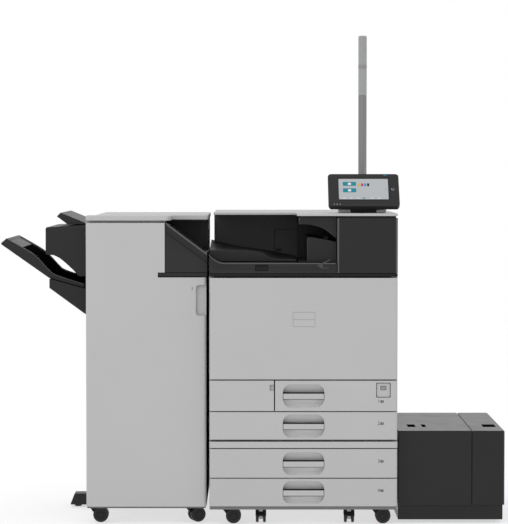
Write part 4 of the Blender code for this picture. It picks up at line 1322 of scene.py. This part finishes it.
def paper_tray():
    body = copy_of_node("bulk_tray_body", "lct_body")
    over = LCT_TOP + 0.01
    latches = [(0.4955, 0.5205), (0.5415, 0.5540)]
    for x in latches:
        carve(body, slab("latch_bed", x, (FRONT + 0.158, FRONT + 0.233), (LCT_TOP - 0.004, over)))
    carve(
        body,
        slab(
            "rear_seam",
            (LCT_LEFT - 0.01, LCT_SPLIT + 0.001),
            (FRONT + 0.4890, FRONT + 0.4912),
            (LCT_TOP - 0.003, over),
        ),
        vent((0.50, 0.62), (LCT_BACK - 0.004, LCT_BACK + 0.02), (0.20, 0.24)),
    )
    soften(body, 0.0018, steps=3)
    fit(body, CHARCOAL, "charcoal_plastic", "lct", "lct_body")
    # Painted shade: dull black sheets on the floors of the latch recesses.
    floors = []
    for x in latches:
        floors.append(
            slab(
                "floor",
                (x[0] + 0.0003, x[1] - 0.0003),
                (FRONT + 0.1583, FRONT + 0.2327),
                (LCT_TOP - 0.0042, LCT_TOP - 0.0008),
            ),
        )
    beds = join(floors)
    beds.name = "latch_floor_shade"
    fit(beds, RECESS, "charcoal_plastic", "lct")

    cover = slab("bulk_tray_door", (LCT_SPLIT + 0.0025, 0.793), (LCT_FRONT, LCT_BACK), (0.0575, LCT_TOP))
    round_edges(cover, 0.010, lambda m, way: upright(m, way) and m.x > 0.79)
    round_edges(cover, 0.004, lambda m, way: m.z > LCT_TOP - 0.0001 and abs(way.y) > 0.5, steps=3)
    hollow = slab(
        "hollow",
        (LCT_SPLIT - 0.05, 0.789),
        (LCT_FRONT + 0.004, LCT_BACK - 0.004),
        (0.0, LCT_TOP - 0.004),
    )
    handle = slab("handle", (0.7355, 0.7765), (FRONT + 0.158, FRONT + 0.233), (LCT_TOP - 0.003, over))
    round_edges(handle, 0.003, upright)
    carve(cover, hollow, handle)
    soften(cover, 0.0016)
    fit(cover, CHARCOAL, "charcoal_plastic", "lct_cover", "lct_right_cover")
    # Painted shade: a dull black sheet on the floor of the handle recess.
    floor = slab(
        "handle_floor_shade",
        (0.7358, 0.7762),
        (FRONT + 0.1583, FRONT + 0.2327),
        (LCT_TOP - 0.0032, LCT_TOP - 0.0008),
    )
    fit(floor, RECESS, "charcoal_plastic", "lct_cover")
    dot = rod(
        "tray_light",
        (0.7265, FRONT + 0.195, LCT_TOP - 0.001),
        (0.7265, FRONT + 0.195, LCT_TOP + 0.0002),
        0.0025,
        24,
    )
    soften(dot, 0.0002, steps=1)
    fit(dot, GREY, "charcoal_plastic", "lct_cover")
    plate = slab("paper_lift", (0.480, 0.770), (LCT_FRONT + 0.029, LCT_BACK - 0.029), (0.0640, 0.0690))
    soften(plate, 0.0008)
    fit(plate, STEEL, "plate_metal", "lct_plate", "lct_lift_plate")


# ---- casters


TRAIL = 0.022
CASTERS = {
    "front_left_caster": (-0.081, FRONT + 0.060, 0),
    "front_right_caster": (0.388, FRONT + 0.060, 0),
    "finisher_left_caster": (-0.499, FRONT + 0.085, 0),
    "finisher_right_caster": (-0.196, FRONT + 0.085, 20),
}
FIXED = {
    "small_left": (0.0270, FRONT + 0.092, -90, 0.0185),
    "small_right": (0.3045, FRONT + 0.092, -90, 0.0185),
    "rear_left": (-0.0800, FRONT + 0.600, 90, 0.024),
    "rear_right": (0.3990, FRONT + 0.600, 90, 0.024),
    "finisher_rear_left": (-0.480, FRONT + 0.560, 90, 0.024),
    "finisher_rear_right": (-0.185, FRONT + 0.560, 90, 0.024),
}


def twin_wheels(name, node, body, x, y, heading, radius):
    """Two wheels on one axle, each with a dished hub and a raised cap."""
    turn = math.radians(heading)
    ahead = Vector((math.cos(turn), math.sin(turn), 0))
    across = Vector((-math.sin(turn), math.cos(turn), 0))
    middle = Vector((x, y, radius + 0.0005)) + ahead * TRAIL
    inner = 0.0075 if radius > 0.02 else 0.0068
    outer = inner + (0.0120 if radius > 0.02 else 0.0090)
    parts = [rod("axle", middle - across * inner, middle + across * inner, 0.0038, 20)]
    for side in (-1, 1):
        wheel = rod("wheel", middle + across * inner * side, middle + across * outer * side, radius, 48)
        rim = middle + across * outer * side
        soften(wheel, 0.0025, steps=3, angle=60)
        pick(
            wheel,
            "FACE",
            lambda centre, normal: (centre - rim).length < 0.002 and abs(normal.dot(across)) > 0.9,
        )
        bpy.ops.mesh.inset(thickness=radius * 0.22)
        bpy.ops.mesh.inset(thickness=0.0008, depth=-0.0022)
        bpy.ops.mesh.inset(thickness=radius * 0.36)
        bpy.ops.mesh.inset(thickness=0.0006, depth=0.0018)
        bpy.ops.object.mode_set(mode="OBJECT")
        parts.append(wheel)
    pair = join(parts)
    pair.name = name
    smooth(pair)
    fit(pair, TREAD, "caster_wheel", body, node)


def casters():
    for name, (x, y, heading) in CASTERS.items():
        twin_wheels(name + "_treads", name + "_wheels", name + "_wheels", x, y, heading, 0.024)
        fork = copy_of_node(name + "_saddle", name + "_fork")
        soften(fork, 0.0015, steps=3)
        fit(fork, SATIN, DARK, name + "_fork", name + "_fork")
        caster_cowl(name, name + "_fork", x, y, heading, 0.024)
    for name, (x, y, heading, radius) in FIXED.items():
        twin_wheels(name + "_treads", name + "_wheels", name + "_wheels", x, y, heading, radius)
        caster_cowl(name, "finisher" if name.startswith("finisher") else "main", x, y, heading, radius)


def caster_cowl(name, body, x, y, heading, radius):
    """The moulded guard that wraps over the twin wheels from the mounting plate."""
    turn = math.radians(heading)
    ahead = Vector((math.cos(turn), math.sin(turn), 0))
    across = Vector((-math.sin(turn), math.cos(turn), 0))
    middle = Vector((x, y, radius + 0.0005)) + ahead * TRAIL
    half = 0.0062
    drum = rod("drum", middle - across * half, middle + across * half, radius + 0.0005, 48)
    keep_low = slab("low", (x - 0.2, x + 0.2), (y - 0.2, y + 0.2), (-0.1, radius + 0.006))
    keep_high = slab("high", (x - 0.2, x + 0.2), (y - 0.2, y + 0.2), (0.0552, 0.2))
    carve(drum, keep_low, keep_high)
    drum.name = name + "_cowl"
    soften(drum, 0.0008, steps=2)
    fit(drum, SATIN, DARK, body)
    if radius < 0.02:
        wide = 0.0168
        guard = rod(name + "_guard", middle - across * wide, middle + across * wide, radius + 0.0026, 48)
        clear = rod("clear", middle - across * wide * 2, middle + across * wide * 2, radius + 0.0010, 48)
        below = slab("below", (x - 0.2, x + 0.2), (y - 0.2, y + 0.2), (-0.1, radius + 0.004))
        carve(guard, clear, below)
        soften(guard, 0.0004, steps=2)
        fit(guard, SATIN, DARK, body)


def room():
    """Pale flat floor, two soft panels of light and a white surround that is open from every side."""
    floor = slab("studio_floor", (-9.0, 9.0), (-9.0, 9.0), (-0.02, 0.0))
    paint = finish_of("pale_floor", (0.40, 0.40, 0.40), 0.85, grain=0.02, drift=0.004, wear=0.0, shine=0.1)
    glow = paint.node_tree.nodes["Principled BSDF"]
    glow.inputs["Emission Color"].default_value = (1, 1, 1, 1)
    glow.inputs["Emission Strength"].default_value = 0.58
    floor.data.materials.append(paint)

    world = bpy.data.worlds.new("white_surround")
    world.use_nodes = True
    world.node_tree.nodes["Background"].inputs["Color"].default_value = (1, 1, 1, 1)
    world.node_tree.nodes["Background"].inputs["Strength"].default_value = 1.0
    bpy.context.scene.world = world
    bpy.context.scene.view_settings.view_transform = "Standard"
    for name, place, size, power in (
        ("key_light", (-2.2, -3.6, 3.4), 2.6, 38),
        ("top_light", (0.2, 0.4, 3.6), 2.4, 4),
    ):
        light = bpy.data.lights.new(name, "AREA")
        light.size = size
        light.energy = power
        lamp = bpy.data.objects.new(name, light)
        bpy.context.scene.collection.objects.link(lamp)
        lamp.location = place
        aim = Vector((0, 0, 0.6)) - Vector(place)
        lamp.rotation_euler = aim.to_track_quat("-Z", "Y").to_euler()


def camera():
    lens = bpy.data.cameras.new("camera")
    lens.lens = 159.73
    lens.sensor_width = 36
    lens.clip_end = 60
    seat = bpy.data.objects.new("camera", lens)
    bpy.context.scene.collection.objects.link(seat)
    seat.location = (0.0055, -7.5605, 1.109)
    seat.rotation_euler = (math.radians(90 - 2.266), 0, 0)
    bpy.context.scene.camera = seat


camera()
room()
drawer_fronts()
front_door()
waste_cover()
main_cabinets()
power_switch()
side_covers()
engine_room()
roof()
bay_walls()
exit_arch()
front_rail()
deck()
touch_panel()
attention_light()
finisher_cabinet()
finisher_top()
finisher_ramp()
finisher_door()
exit_hood()
stacking_trays()
stabiliser()
paper_tray()
casters()

bpy.context.view_layer.update()
